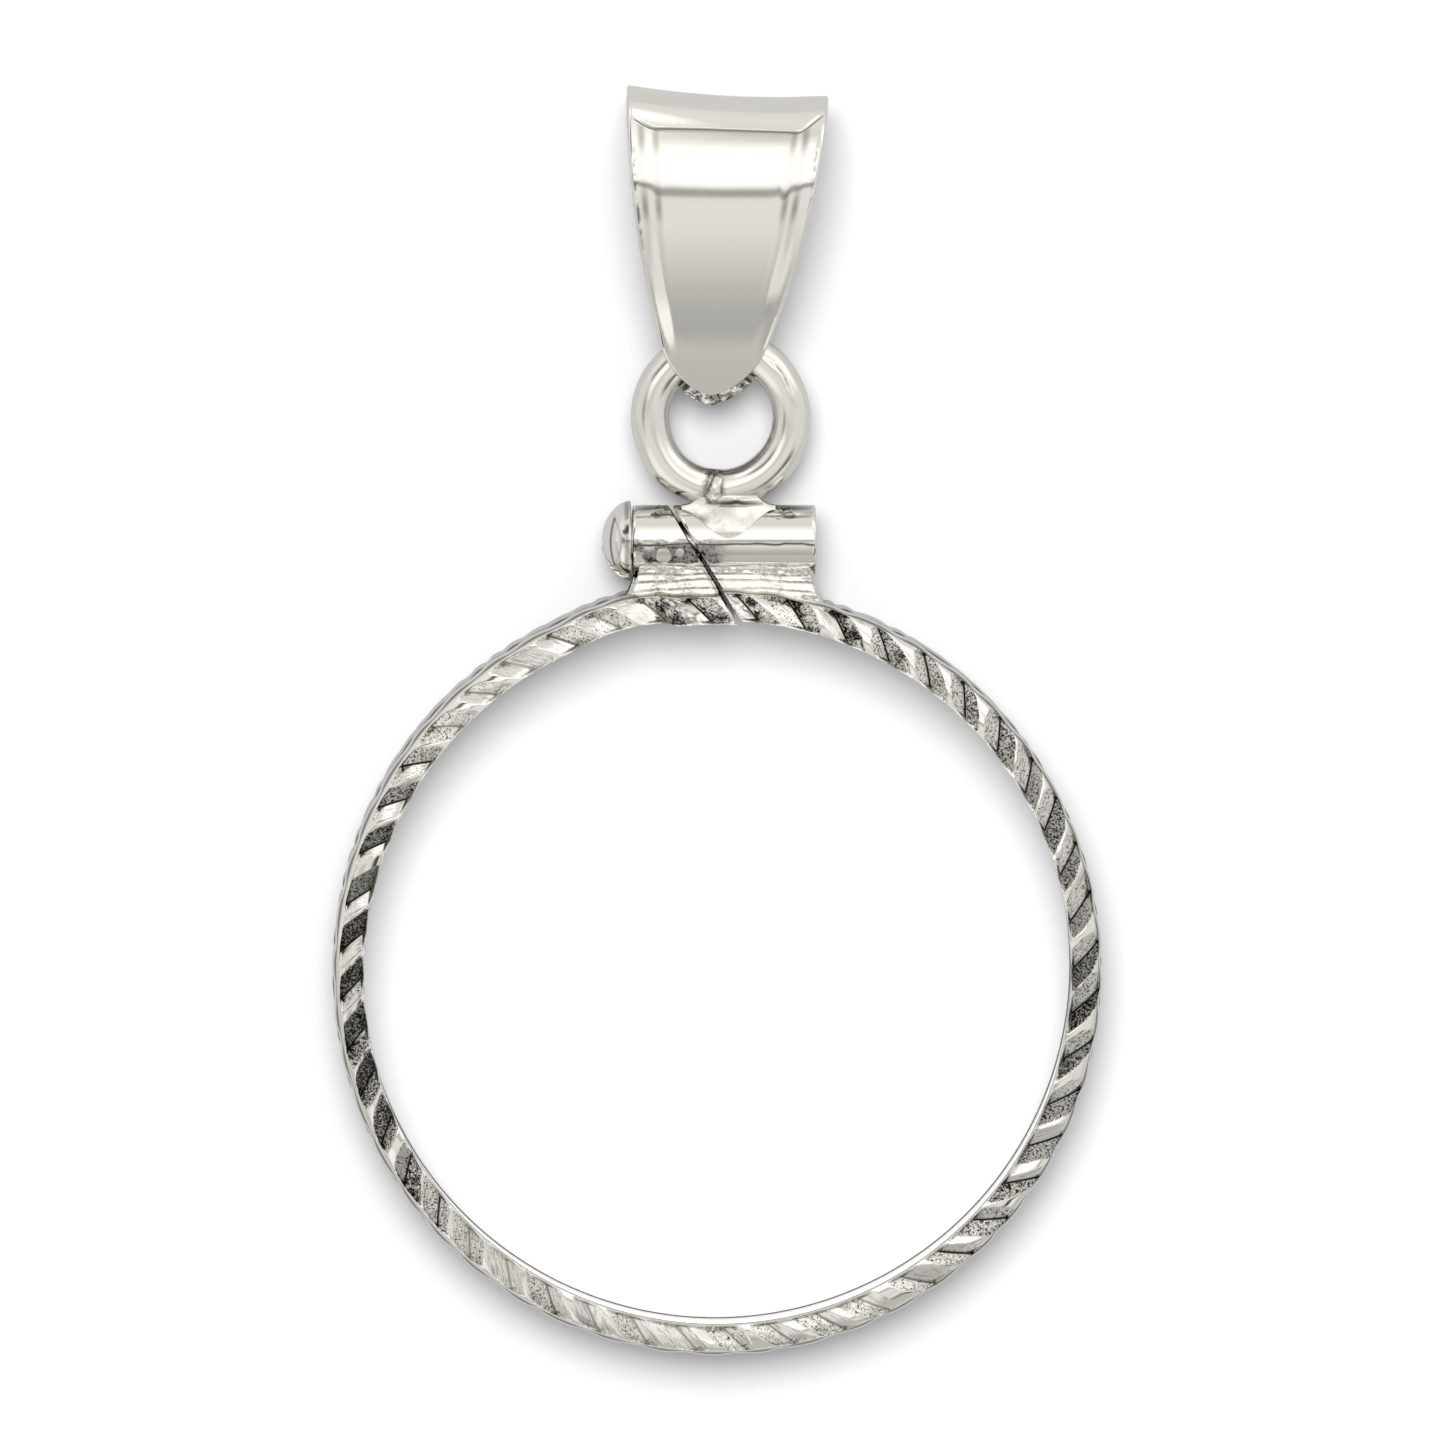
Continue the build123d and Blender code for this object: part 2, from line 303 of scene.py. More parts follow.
@dataclass(frozen=True)
class DiamondCutSilver(Finish):
    """Sterling silver cut by a turning diamond: bright lands between cuts, with a torn and grainy
    flank, a combed flank and a dark line in the bottom of each cut, partly polishing dirt and partly
    painted shade. Inside the channel it keeps the dead white skin that pickling leaves. The same dark
    also paints shade at the ring's creases and edges and dark reflections on its flanks.

    Real torn grain and comb marks are finer than the picture's dots, so both are drawn as coarse as
    they need to show. Each pair of speck limits is how high they stand where their darkening starts
    and where it is full. The line is the dark in a cut's bottom, partly dirt and partly painted shade,
    with a core that is full.
    """

    name: str = "diamond_cut_silver"
    colour: str = "#EFECE4"
    # The outer wall's grey: an as-cast skin, darkened further as painted reflection of the shaded table.
    cast: str = "#A9A69D"
    pickled: str = "#ECEBE7"
    # The dark for dirt, also used for painted shade and painted dark reflection.
    dirt: str = "#1B1815"
    roughness: float = 0.12
    dull_roughness: float = 0.5
    grain_mm: float = 0.055
    grain_height_mm: float = 0.030
    grain_specks: tuple = (0.56, 0.595)
    comb_mm: float = 0.034
    comb_stretch: float = 0.10
    comb_height_mm: float = 0.009
    comb_specks: tuple = (0.58, 0.70)
    comb_stain: float = 0.4
    stain_spread: float = 0.125
    mask_gain: float = 12.0
    line_mm: float = 0.048
    line_core: float = 0.3

    def surface(self, add: Callable) -> dict:
        """Torn grain under comb marks, then tones and darkening, each by its own field of the mesh.

        A layer's noise is relief, and where it stands high enough within the layer's mask, a dark speck.
        The darkening is partly dirt and partly painted shade and dark reflection.
        """
        keys = ("grain", "comb", "dirt", "line", "cast", "matt", "cut_place")
        fields = [add("Attribute", attribute_name=key).outputs for key in keys]
        torn, combed, dirt, line, cast, matt = (outputs["Fac"] for outputs in fields[:-1])
        place = fields[-1]["Vector"]
        along = add("Mapping", {"Vector": place, "Scale": (1.0, self.comb_stretch, 1.0)})
        fine = {"Vector": place, "Scale": 1 / self.grain_mm, "Detail": 5.0, "Roughness": 0.8}
        marks = {"Vector": along, "Scale": 1 / self.comb_mm, "Detail": 1.5, "Roughness": 0.6}
        across = add("SeparateXYZ", {0: place})
        off_line = add("Math", {0: across}, operation="ABSOLUTE")
        full = self.line_core * self.line_mm
        limits = {"From Min": full, "From Max": self.line_mm, "To Min": 1.0, "To Max": 0.0}
        thin = add("MapRange", {"Value": off_line} | limits)
        # The dark line along each cut's bottom: partly polishing dirt, partly painted shade.
        valley = add("Math", {0: thin, 1: line}, operation="MULTIPLY")
        stain = add("Math", {0: valley, 1: dirt}, operation="MAXIMUM")
        layers = (
            (fine, torn, self.grain_height_mm, self.grain_specks, 1.0),
            (marks, combed, self.comb_height_mm, self.comb_specks, self.comb_stain),
        )
        normal = None
        for pattern, mask, height, (low, high), strength in layers:
            noise = add("TexNoise", pattern)
            relief = {"Height": noise, "Distance": height * MM, "Strength": mask, "Normal": normal}
            normal = add("Bump", relief)
            raised = add("Math", {0: mask, 1: self.stain_spread, 2: noise}, operation="MULTIPLY_ADD")
            speck = add("MapRange", {"Value": raised, "From Min": low, "From Max": high, "To Max": strength})
            inside = add("Math", {0: mask, 1: self.mask_gain}, operation="MULTIPLY", use_clamp=True)
            share = add("Math", {0: speck, 1: inside}, operation="MULTIPLY")
            stain = add("Math", {0: share, 1: stain}, operation="MAXIMUM")
        colour = linear(self.colour)
        for share, tone in ((cast, self.cast), (matt, self.pickled), (stain, self.dirt)):
            colour = add("Mix", {"Factor": share, MIX_A: colour, MIX_B: linear(tone)}, data_type="RGBA")
        metallic = add("Math", {0: 1.0, 1: matt}, operation="SUBTRACT")
        dull = add("Math", {0: stain, 1: matt}, operation="MAXIMUM")
        rough = add("MapRange", {"Value": dull, "To Min": self.roughness, "To Max": self.dull_roughness})
        return {"Base Color": colour, "Metallic": metallic, "Roughness": rough, "Normal": normal}


@dataclass(frozen=True)
class SolderedSilver(Finish):
    """Sterling silver flooded with silver solder: satin where it flowed, pitted where it boiled,
    and black where flux stayed in a crease. The same black paints shade toward and inside the
    barrel's bore.
    """

    name: str = "soldered_silver"
    colour: str = "#ECE9E1"
    pit: str = "#35312A"
    roughness: float = 0.11
    pitted_roughness: float = 0.26
    pit_mm: float = 0.10
    pit_depth_mm: float = 0.022
    pit_edges: tuple = (0.42, 0.58)

    def surface(self, add: Callable) -> dict:
        """Clean metal, pitted by the mesh's rough field and black by its field of dirt and painted shade."""
        place = add("TexCoord").outputs["Object"]
        mask, dirt = (add("Attribute", attribute_name=key).outputs["Fac"] for key in ("rough", "dirt"))
        pattern = {"Vector": place, "Scale": 1 / (self.pit_mm * MM), "Detail": 3.0, "Roughness": 0.6}
        pits = add("TexNoise", pattern)
        low, high = self.pit_edges
        limits = {"Value": pits, "From Min": low, "From Max": high, "To Min": 1.0, "To Max": 0.0}
        deep = add("MapRange", limits)
        pitted = add("Math", {0: deep, 1: mask}, operation="MULTIPLY")
        dark = add("Math", {0: pitted, 1: dirt}, operation="MAXIMUM")
        relief = add("Bump", {"Height": pits, "Distance": self.pit_depth_mm * MM, "Strength": mask})
        colours = {"Factor": dark, MIX_A: linear(self.colour), MIX_B: linear(self.pit)}
        colour = add("Mix", colours, data_type="RGBA")
        rough = add("MapRange", {"Value": mask, "To Min": self.roughness, "To Max": self.pitted_roughness})
        return {"Base Color": colour, "Metallic": 1.0, "Roughness": rough, "Normal": relief}


@dataclass(frozen=True)
class SawnSilver(Finish):
    """Silver as the saw blade left it inside the cut, dull and never polished since, and painted near black
    as the shade inside the narrow cut.
    """

    name: str = "sawn_and_shaded_silver"
    colour: str = "#2F2C27"
    roughness: float = 0.6

    def surface(self, add: Callable) -> dict:
        """One plain dull metal, dark as painted shade."""
        return {"Base Color": linear(self.colour), "Metallic": 1.0, "Roughness": self.roughness}


@dataclass(frozen=True)
class TablePaper(Finish):
    """Matt white background paper, which takes soft shadows.

    Such a picture's background is whitened to pure paper white, while the metal keeps its
    reflections of a greyer table. So the paper has a second, greyer tone for reflected rays.
    """

    name: str = "table_paper"
    colour: str = "#CBCBCC"
    reflected: str = "#A5A5A7"
    roughness: float = 0.9

    def surface(self, add: Callable) -> dict:
        """One tone for rays that the metal reflects and another for all others."""
        bounce = add("LightPath").outputs["Is Glossy Ray"]
        tones = {"Factor": bounce, MIX_A: linear(self.colour), MIX_B: linear(self.reflected)}
        tone = add("Mix", tones, data_type="RGBA")
        return {"Base Color": tone, "Roughness": self.roughness, "Specular IOR Level": 0.0}


@dataclass
class Finishes:
    """The materials, made once and shared by the sub-assemblies."""

    polished: Material = field(default_factory=lambda: PolishedSilver().material())
    cut: Material = field(default_factory=lambda: DiamondCutSilver().material())
    soldered: Material = field(default_factory=lambda: SolderedSilver().material())
    wire: Material = field(default_factory=lambda: SolderedSilver("soldered_wire", roughness=0.2).material())
    sawn: Material = field(default_factory=lambda: SawnSilver().material())
    paper: Material = field(default_factory=lambda: TablePaper().material())


def dress(
    obj: Object, material: Material, body: str, node: str, ends: Material = None
) -> None:
    """Gives a finished piece its material, and says what it rides on and stands for.

    Args:
        obj: The piece.
        material: Its finish.
        body: The moving body that carries it.
        node: The construction node that it replaces.
        ends: The finish of its two end faces, if that is another.
    """
    obj.data.materials.append(material)
    if ends:
        obj.data.materials.append(ends)
        for face in obj.data.polygons[-2:]:
            face.material_index = 1
    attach(obj, body)
    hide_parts(node)
    LOG.info("%s: %d faces", obj.name, len(obj.data.polygons))


@dataclass
class SawCut:
    """The slanting saw cut through barrel, seat and ring: a plane that leans left towards the top."""

    x: float = -0.66
    y: float = 11.215
    lean: float = math.radians(31.0)
    width: float = 0.085

    def x_at(self, y: Array, side: int) -> Array:
        """The cut's face at a height: x less the rise times the lean's tangent, half a width aside."""
        return self.x - (y - self.y) * math.tan(self.lean) + side * self.width / 2 / math.cos(self.lean)

    def turn_at(self, radius: Array, side: int) -> Array:
        """The cut's face on a circle round the origin, as an angle clockwise from the top.

        The face is a line at distance d from the origin, so it meets a circle of radius r at d
        along its normal and the root of r squared less d squared along its length.
        """
        normal = np.array([math.cos(self.lean), math.sin(self.lean)])
        along = np.array([-math.sin(self.lean), math.cos(self.lean)])
        distance = self.x * normal[0] + self.y * normal[1] + side * self.width / 2
        run = np.sqrt(radius**2 - distance**2)
        return np.arctan2(distance * normal[0] + run * along[0], distance * normal[1] + run * along[1])


@dataclass
class ChannelRing:
    """The channel ring: its section, its diamond-cut front and its notched back edge.

    The cuts' spreads are the standard deviations, from cut to cut, of depth, of twist along the
    line, of place across it, and of the short and the long flank's slope as shares of it. Angles
    run clockwise from the top. The seam is where the ring was soldered shut. Beside the saw cut the
    front is pinched, and the left end bulges out round one angle and sags in between two others.
    """

    lip_radius: float = 9.205
    back_lip_radius: float = 9.295
    groove_radius: float = 9.565
    outer_radius: float = 10.025
    half_height: float = 1.35
    half_groove: float = 0.80
    crown_radius: float = 0.68
    crown_inset: float = 0.20
    shoulder: float = 0.15
    waist_width: float = 0.24
    waist_depth: float = 0.07
    waist_drop: float = 0.25
    facets: int = 48
    facet_columns: int = 26
    facet_phase: float = math.radians(5.06)
    facet_inset: float = 0.07
    facet_depth: float = 0.24
    short_flank: float = 0.37
    long_flank: float = 0.52
    facet_follow: float = 0.55
    scoop_radius: float = 9.86
    off_centre: float = 0.06
    ridge_blend: float = 0.015
    land: float = 0.09
    notches: int = 96
    notch_depth: float = 0.10
    wall_wave: float = 0.07
    front_wave: float = 0.05
    seam_turn: float = math.radians(352.2)
    seam_reach: float = 0.055
    seam_height: float = 0.09
    crown_steps: int = 42
    chamfer: float = 0.03
    cut_seed: int = 7
    cut_spreads: tuple = (0.022, 0.08, 0.035, 0.16, 0.18)
    wear_spread: float = 0.12
    noise_apart: float = 3.7
    saw_reach: float = 0.10
    pinch: float = 0.04
    bulge: float = 0.10
    bulge_at: tuple = (math.radians(-15), math.radians(11))
    sag_turns: tuple = (math.radians(-9), math.radians(-6))
    saw: SawCut = field(default_factory=SawCut)

    @property
    def middle_radius(self) -> float:
        """The radius at the middle of the front face, where facets are set out."""
        return (self.lip_radius + self.outer_radius) / 2 - self.facet_inset

    @property
    def waist_height(self) -> float:
        """The height of the crease between the front's shoulder and the notched wall, painted dark as shade.
        """
        reach = (self.outer_radius - self.lip_radius - self.crown_inset) / self.crown_radius
        fall = self.crown_radius * (1 - math.sqrt(1 - reach**2))
        return self.half_height - fall - self.waist_drop

    def profile(self) -> Array:
        """The section's corners in order, from the front lip's inner edge over the crown and round.

        The crown is an arc: r is its middle plus the crown radius times the sine of an angle, and z
        falls from the top by the crown radius times one less the cosine.

        Returns:
            Rows of radii, heights, darkness and mattness, by point. The darkness is painted shade: an
            outline near the crown's outer edge, the waist's crease, the back lip's edge on the table and the
            front lip's underside. The first points are the crown.
        """
        crown_middle = self.lip_radius + self.crown_inset
        start = -math.asin(self.crown_inset / self.crown_radius)
        end = math.asin((self.outer_radius - crown_middle) / self.crown_radius)
        angles = np.linspace(start, end, self.crown_steps)
        crown_r = crown_middle + self.crown_radius * np.sin(angles)
        crown_z = self.half_height - self.crown_radius * (1 - np.cos(angles))
        outer, inner, lip = self.outer_radius, self.lip_radius, self.back_lip_radius
        back, half, soft, shoulder = -self.half_height, self.half_groove, self.chamfer, self.shoulder
        waist = self.waist_height
        # The third column is painted shade: dark at the waist's crease, at the back lip's edge where it meets
        # the table, and under the front lip.
        rest = [
            (outer, waist + soft, 0, 0),
            (outer - self.waist_depth * 0.3, waist - soft, 0.8, 0),
            (outer - self.waist_depth, waist - self.waist_width / 2, 1, 0),
            (outer - self.waist_depth * 0.3, waist - self.waist_width + soft, 0.8, 0),
            (outer, waist - self.waist_width - soft, 0, 0),
            (outer, 0, 0, 0),
            (outer, back + shoulder + 0.30, 0, 0),
            (outer, back + shoulder + 0.12, 0, 0),
            (outer - 0.02, back + shoulder, 0, 0),
            (outer - shoulder * 0.5, back + shoulder * 0.5, 0, 0),
            (outer - shoulder, back, 0, 0),
            (outer - 0.35, back, 0, 0),
            (lip - soft, back, 0.7, 0),
            (lip - 0.2 * soft, back + 0.8 * soft, 0.8, 0),
            (lip, back + 0.07, 0.12, 0.7),
            (lip, back + 0.2, 0.03, 0.8),
            (lip, -half - soft, 0, 0.9),
            (lip + soft, -half, 0, 1),
            (lip + 0.12, -half, 0, 1),
            (self.groove_radius, -half, 0, 1),
            (self.groove_radius, 0, 0, 1),
            (self.groove_radius, half, 0.3, 1),
            (inner + soft, half, 0.9, 0.2),
            (inner, half + soft, 0.9, 0),
            (inner, half + 0.16, 0.6, 0),
            (inner, half + 0.3, 0.1, 0),
            (inner, crown_z[0] - soft, 0, 0),
        ]
        # Painted shade: a dark line near the crown's outer edge, where the shoulder turns down.
        crown = np.stack([crown_r, crown_z, 0.75 * hump(outer - 0.07, 0.05, crown_r), 0 * crown_r])
        return np.concatenate([crown, np.array(rest).T], axis=1)

    def turns(self, radii: Array) -> Array:
        """The angle clockwise from the top of each grid point.

        Columns lean with the facets, so that each facet's line falls on one, and near the saw cut
        they lean with the cut instead. The lean is eased from one to the other.
        """
        middle = np.array([self.middle_radius])
        first = self.saw.turn_at(middle, 1)[0]
        last = self.saw.turn_at(middle, -1)[0] + TAU
        step = TAU / self.facets / self.facet_columns
        from_first = math.ceil((first - self.facet_phase) / step) + 1
        to_last = math.floor((last - self.facet_phase) / step)
        inside = np.arange(from_first, to_last)
        columns = np.concatenate([[first], self.facet_phase + inside * step, [last]])[:, None]
        facet_lean = -(radii - self.middle_radius)[None, :] / self.middle_radius
        first_lean = (self.saw.turn_at(radii, 1) - first)[None, :]
        last_lean = (self.saw.turn_at(radii, -1) + TAU - last)[None, :]
        near_first = 1 - ease(0, self.saw_reach, columns - first)
        near_last = 1 - ease(0, self.saw_reach, last - columns)
        lean = facet_lean + near_first * (first_lean - facet_lean) + near_last * (last_lean - facet_lean)
        return columns + lean

    def wear(self, which: Array, rng: np.random.Generator) -> tuple:
        """How torn each cut's long flank is and how combed its short one, by its place on the ring.

        The cutter tore the metal most on the left and the upper right, and least along the bottom,
        where it combed both flanks. So each measure is a sum of humps over the ring, each with the
        angle of its middle and its reach in degrees.

        Args:
            which: Each facet's number.
            rng: The seeded source of the differences between facets.

        Returns:
            How torn the long flanks are, how torn and how combed the short ones are, how dark the
            long ones are, and how black their patches are. The last two, set by side round the ring, are
            partly stain and partly painted dark reflection.
        """
        turn = np.degrees(self.facet_phase + which * TAU / self.facets) % 360
        top = np.abs((turn + 170) % 360 - 180)
        torn = 0.06 + 0.75 * hump(86, 82, turn) + 0.90 * hump(270, 58, turn) + 0.28 * hump(0, 34, top)
        short_torn = 0.03 + 0.10 * hump(80, 75, turn) + 0.65 * hump(246, 32, turn) + 0.12 * hump(0, 30, top)
        combed = 0.30 + 0.40 * hump(80, 70, turn) + 0.45 * hump(262, 26, turn) + 0.35 * hump(185, 60, turn)
        levels = np.stack([torn, short_torn, combed]) + rng.normal(0, self.wear_spread, (3, self.facets))
        # Painted dark reflection in part: how dark the long flanks are and how black their patches are both
        # follow the side of the ring.
        stained = 0.60 * ease(0.15, 0.9, torn) * (1 - 0.9 * hump(0, 36, top))
        black = 0.95 * hump(0, 40, top) + 0.85 * hump(268, 38, turn) + 0.40 * hump(80, 70, turn)
        return np.clip([*levels, stained, black], 0.02, 1)

    def cuts(self, radii: Array, turn: Array, crown: Array) -> tuple:
        """The front's height under its slanting cuts, with the fields that its finish needs.

        For each cut, p runs across its line and l along it, both at 45 degrees to the radius. The
        cut's bottom follows part of the crown's fall and scoops up at its outer end, and its two
        flanks rise from it in proportion to p, and less steeply where the cut is shallow. The front
        is the lower of the crown and the flanks, rounded over where they meet.

        Args:
            radii: The radius of each crown point.
            turn: The angle of each grid point.
            crown: The crown's own height at each radius.

        Returns:
            Heights, the fields grain, comb, darkening and line by name, and places along the cuts. The
            darkening is partly stain and partly painted shade and dark reflection.
        """
        rng = np.random.default_rng(self.cut_seed)
        deeper, twist, shift, *steeper = (rng.normal(0, spread, self.facets) for spread in self.cut_spreads)
        depth = self.facet_depth + deeper
        short_slope = self.facet_depth / self.short_flank * (1 + steeper[0])
        long_slope = self.facet_depth / self.long_flank * (1 + steeper[1])
        torn, short_torn, combed, stained, black = self.wear(np.arange(self.facets), rng)
        step = TAU / self.facets
        q = radii - self.middle_radius
        nearest = np.round((turn - self.facet_phase) / step + q / self.middle_radius / step)
        follow = self.facet_follow * (crown - self.half_height)
        rise_from = self.scoop_radius + self.off_centre * np.sin(turn)
        scoop = self.facet_depth * 1.3 * ease(0, 0.11, radii - rise_from)
        local = crown - self.half_height - follow + self.facet_depth
        flatten = np.clip(local / self.facet_depth, 0.2, 1) ** 0.25
        height = np.broadcast_to(crown, turn.shape).copy()
        for offset in (-1, 1, 0):
            number = nearest + offset
            which = number.astype(int) % self.facets
            t = self.middle_radius * (turn - self.facet_phase - number * step) - shift[which]
            p = (t + q) / math.sqrt(2)
            along = (t - q) / math.sqrt(2)
            bottom = self.half_height + follow + scoop - depth[which] + twist[which] * along
            slope = np.where(p < 0, short_slope[which], long_slope[which])
            flank = bottom + np.abs(p) * slope * flatten
            cut = np.clip((height - flank) / 0.02, 0, 1)
            height = soft_min(height, flank, self.ridge_blend)
        right = ease(-0.01, 0.03, p)
        grain = cut * (torn[which] * right + short_torn[which] * (1 - right))
        comb = cut * (1 - right) * combed[which] + cut * right * (1 - torn[which]) * 0.7
        scooped = 0.5 * hump(0.05, 0.04, radii - rise_from) * cut
        line = ease(0.16, 0.12, np.abs(p)) * ease(0, 0.3, cut) * (0.55 + 0.45 * ease(0.1, 0.3, torn))[which]
        # Each long flank is darkened by its place round the ring, partly stain and partly painted dark
        # reflection.
        grey = np.where(p > 0.01, stained[which], 0.08 * combed[which])
        rim = 0.4 * hump(0.5, 0.5, cut) * (cut > 0) * torn[which]
        place = points_at(p, along, which * self.noise_apart)
        patches = ease(-0.05, 0.15, layered_noise(place, 0.26, 81, layers=2)) * right * black[which]
        grain = np.maximum(grain, 1.1 * cut * patches)
        dirt = np.clip(cut * np.maximum(grey, 0.58 * patches) + scooped * (0.3 + torn[which]), rim, 1)
        kept = ease(self.lip_radius, self.lip_radius + self.land, radii)
        fields = {"grain": grain * kept, "comb": comb * kept, "dirt": dirt * kept, "line": line * kept}
        return crown + (height - crown) * kept, fields, place

    def scallop(self, r: Array, z: Array, turn: Array, flat: Array) -> tuple:
        """Notches the back edge, and waves the wall and the front's rim, by powers of cosines.

        Args:
            r: The radius of each grid point.
            z: Its height.
            turn: Its angle.
            flat: Its place with no height, for noise that makes the waves uneven.

        Returns:
            The new radii and heights.
        """
        back_edge = hump(self.outer_radius - self.shoulder / 2, 0.16, r)
        back_edge = back_edge * hump(-self.half_height + self.shoulder / 2, 0.34, z)
        uneven = 2.2 * soft_noise(flat, 0.9, 53)
        wave = (0.5 + 0.5 * np.cos(turn * self.notches + uneven)) ** 1.5
        wave = wave * (0.5 + 0.5 * soft_noise(flat, 1.4, 57))
        dip = self.notch_depth * back_edge * wave
        outside = ease(self.outer_radius - 0.12, self.outer_radius - 0.04, r)
        waist = self.waist_height
        dip_wall = self.wall_wave * wave * ease(waist + 0.02, waist - 0.10, z)
        wide_wave = (0.5 + 0.5 * np.cos((turn - self.facet_phase) * self.facets + 0.4 * uneven)) ** 1.5
        dip_front = self.front_wave * wide_wave * ease(waist - 0.06, waist + 0.06, z)
        r = r - np.maximum(dip, outside * (dip_wall + dip_front))
        return r, z + dip * ease(self.outer_radius, self.outer_radius - self.shoulder, r)

    def build(self, finishes: Finishes) -> None:
        """Builds and dresses the ring.

        After its cuts and notches come the seam's lumps, hairline cracks near the top, and the
        ends at the saw cut.
        """
        rows = self.profile()
        turn = self.turns(rows[0])
        r, z, dirt, matt = (np.broadcast_to(row, turn.shape).copy() for row in rows)
        fields = {key: np.zeros(turn.shape) for key in ("grain", "comb", "line")}
        fields |= {"dirt": dirt, "matt": matt}
        front = slice(0, self.crown_steps)
        z[:, front], marks, along_cuts = self.cuts(rows[0, front], turn[:, front], rows[1, front])
        for key, mark in marks.items():
            fields[key][:, front] = np.maximum(fields[key][:, front], mark)
        x, y = r * np.sin(turn), r * np.cos(turn)
        fields["cut_place"] = points_at(x, y, z)
        fields["cut_place"][:, front] = along_cuts
        flat = points_at(x, y, 0 * z)
        r, z = self.scallop(r, z, turn, flat)
        outer = self.outer_radius
        # The outer wall is painted greyer: an as-cast skin, darkened further as painted reflection of the
        # shaded table beside the ring.
        fields["cast"] = ease(outer - 0.2, outer - 0.02, r) * ease(0.75, 0.55, z) * 0.8
        seam = hump(self.seam_turn, self.seam_reach, turn) * ease(0.3, 0.9, z)
        mess = layered_noise(points_at(x, y, z), 0.22, 61)
        z = z + self.seam_height * seam * mess
        points = points_at(x, y, z)
        outlines = hump(0, 0.16, mess) * hump(0, 0.9, soft_noise(points, 0.4, 63))
        top = np.abs((turn - math.radians(5) + math.pi) % TAU - math.pi)
        web = layered_noise(points, 0.34, 67, layers=2)
        cracks = hump(0, 0.14, web) * ease(-0.1, 0.3, soft_noise(flat, 0.5, 69)) * hump(0, 0.50, top)
        cracks = cracks * ease(0.4, 0.9, z) * ease(self.lip_radius, self.lip_radius + 0.05, r)
        fields["dirt"] = np.maximum(fields["dirt"], np.maximum(0.9 * seam * outlines, 0.9 * cracks))
        fields["grain"] = np.clip(fields["grain"] + 0.7 * seam * ease(0.1, 0.5, mess), 0, 1)
        edge = np.minimum(turn - turn[0], turn[-1] - turn) * self.middle_radius
        z = z - self.pinch * hump(0, 0.05, edge) * ease(1.0, 1.2, z)
        wrapped = (turn + math.pi) % TAU - math.pi
        bulge = self.bulge * hump(*self.bulge_at, wrapped)
        sag = -self.bulge * ease(*self.sag_turns, wrapped) * (turn > math.pi)
        r = r + bulge + sag
        ring = loft_mesh("channel_ring", points_at(r * np.sin(turn), r * np.cos(turn), z), fields)
        dress(ring, finishes.cut, "bezel", "bezel_ring", finishes.sawn)


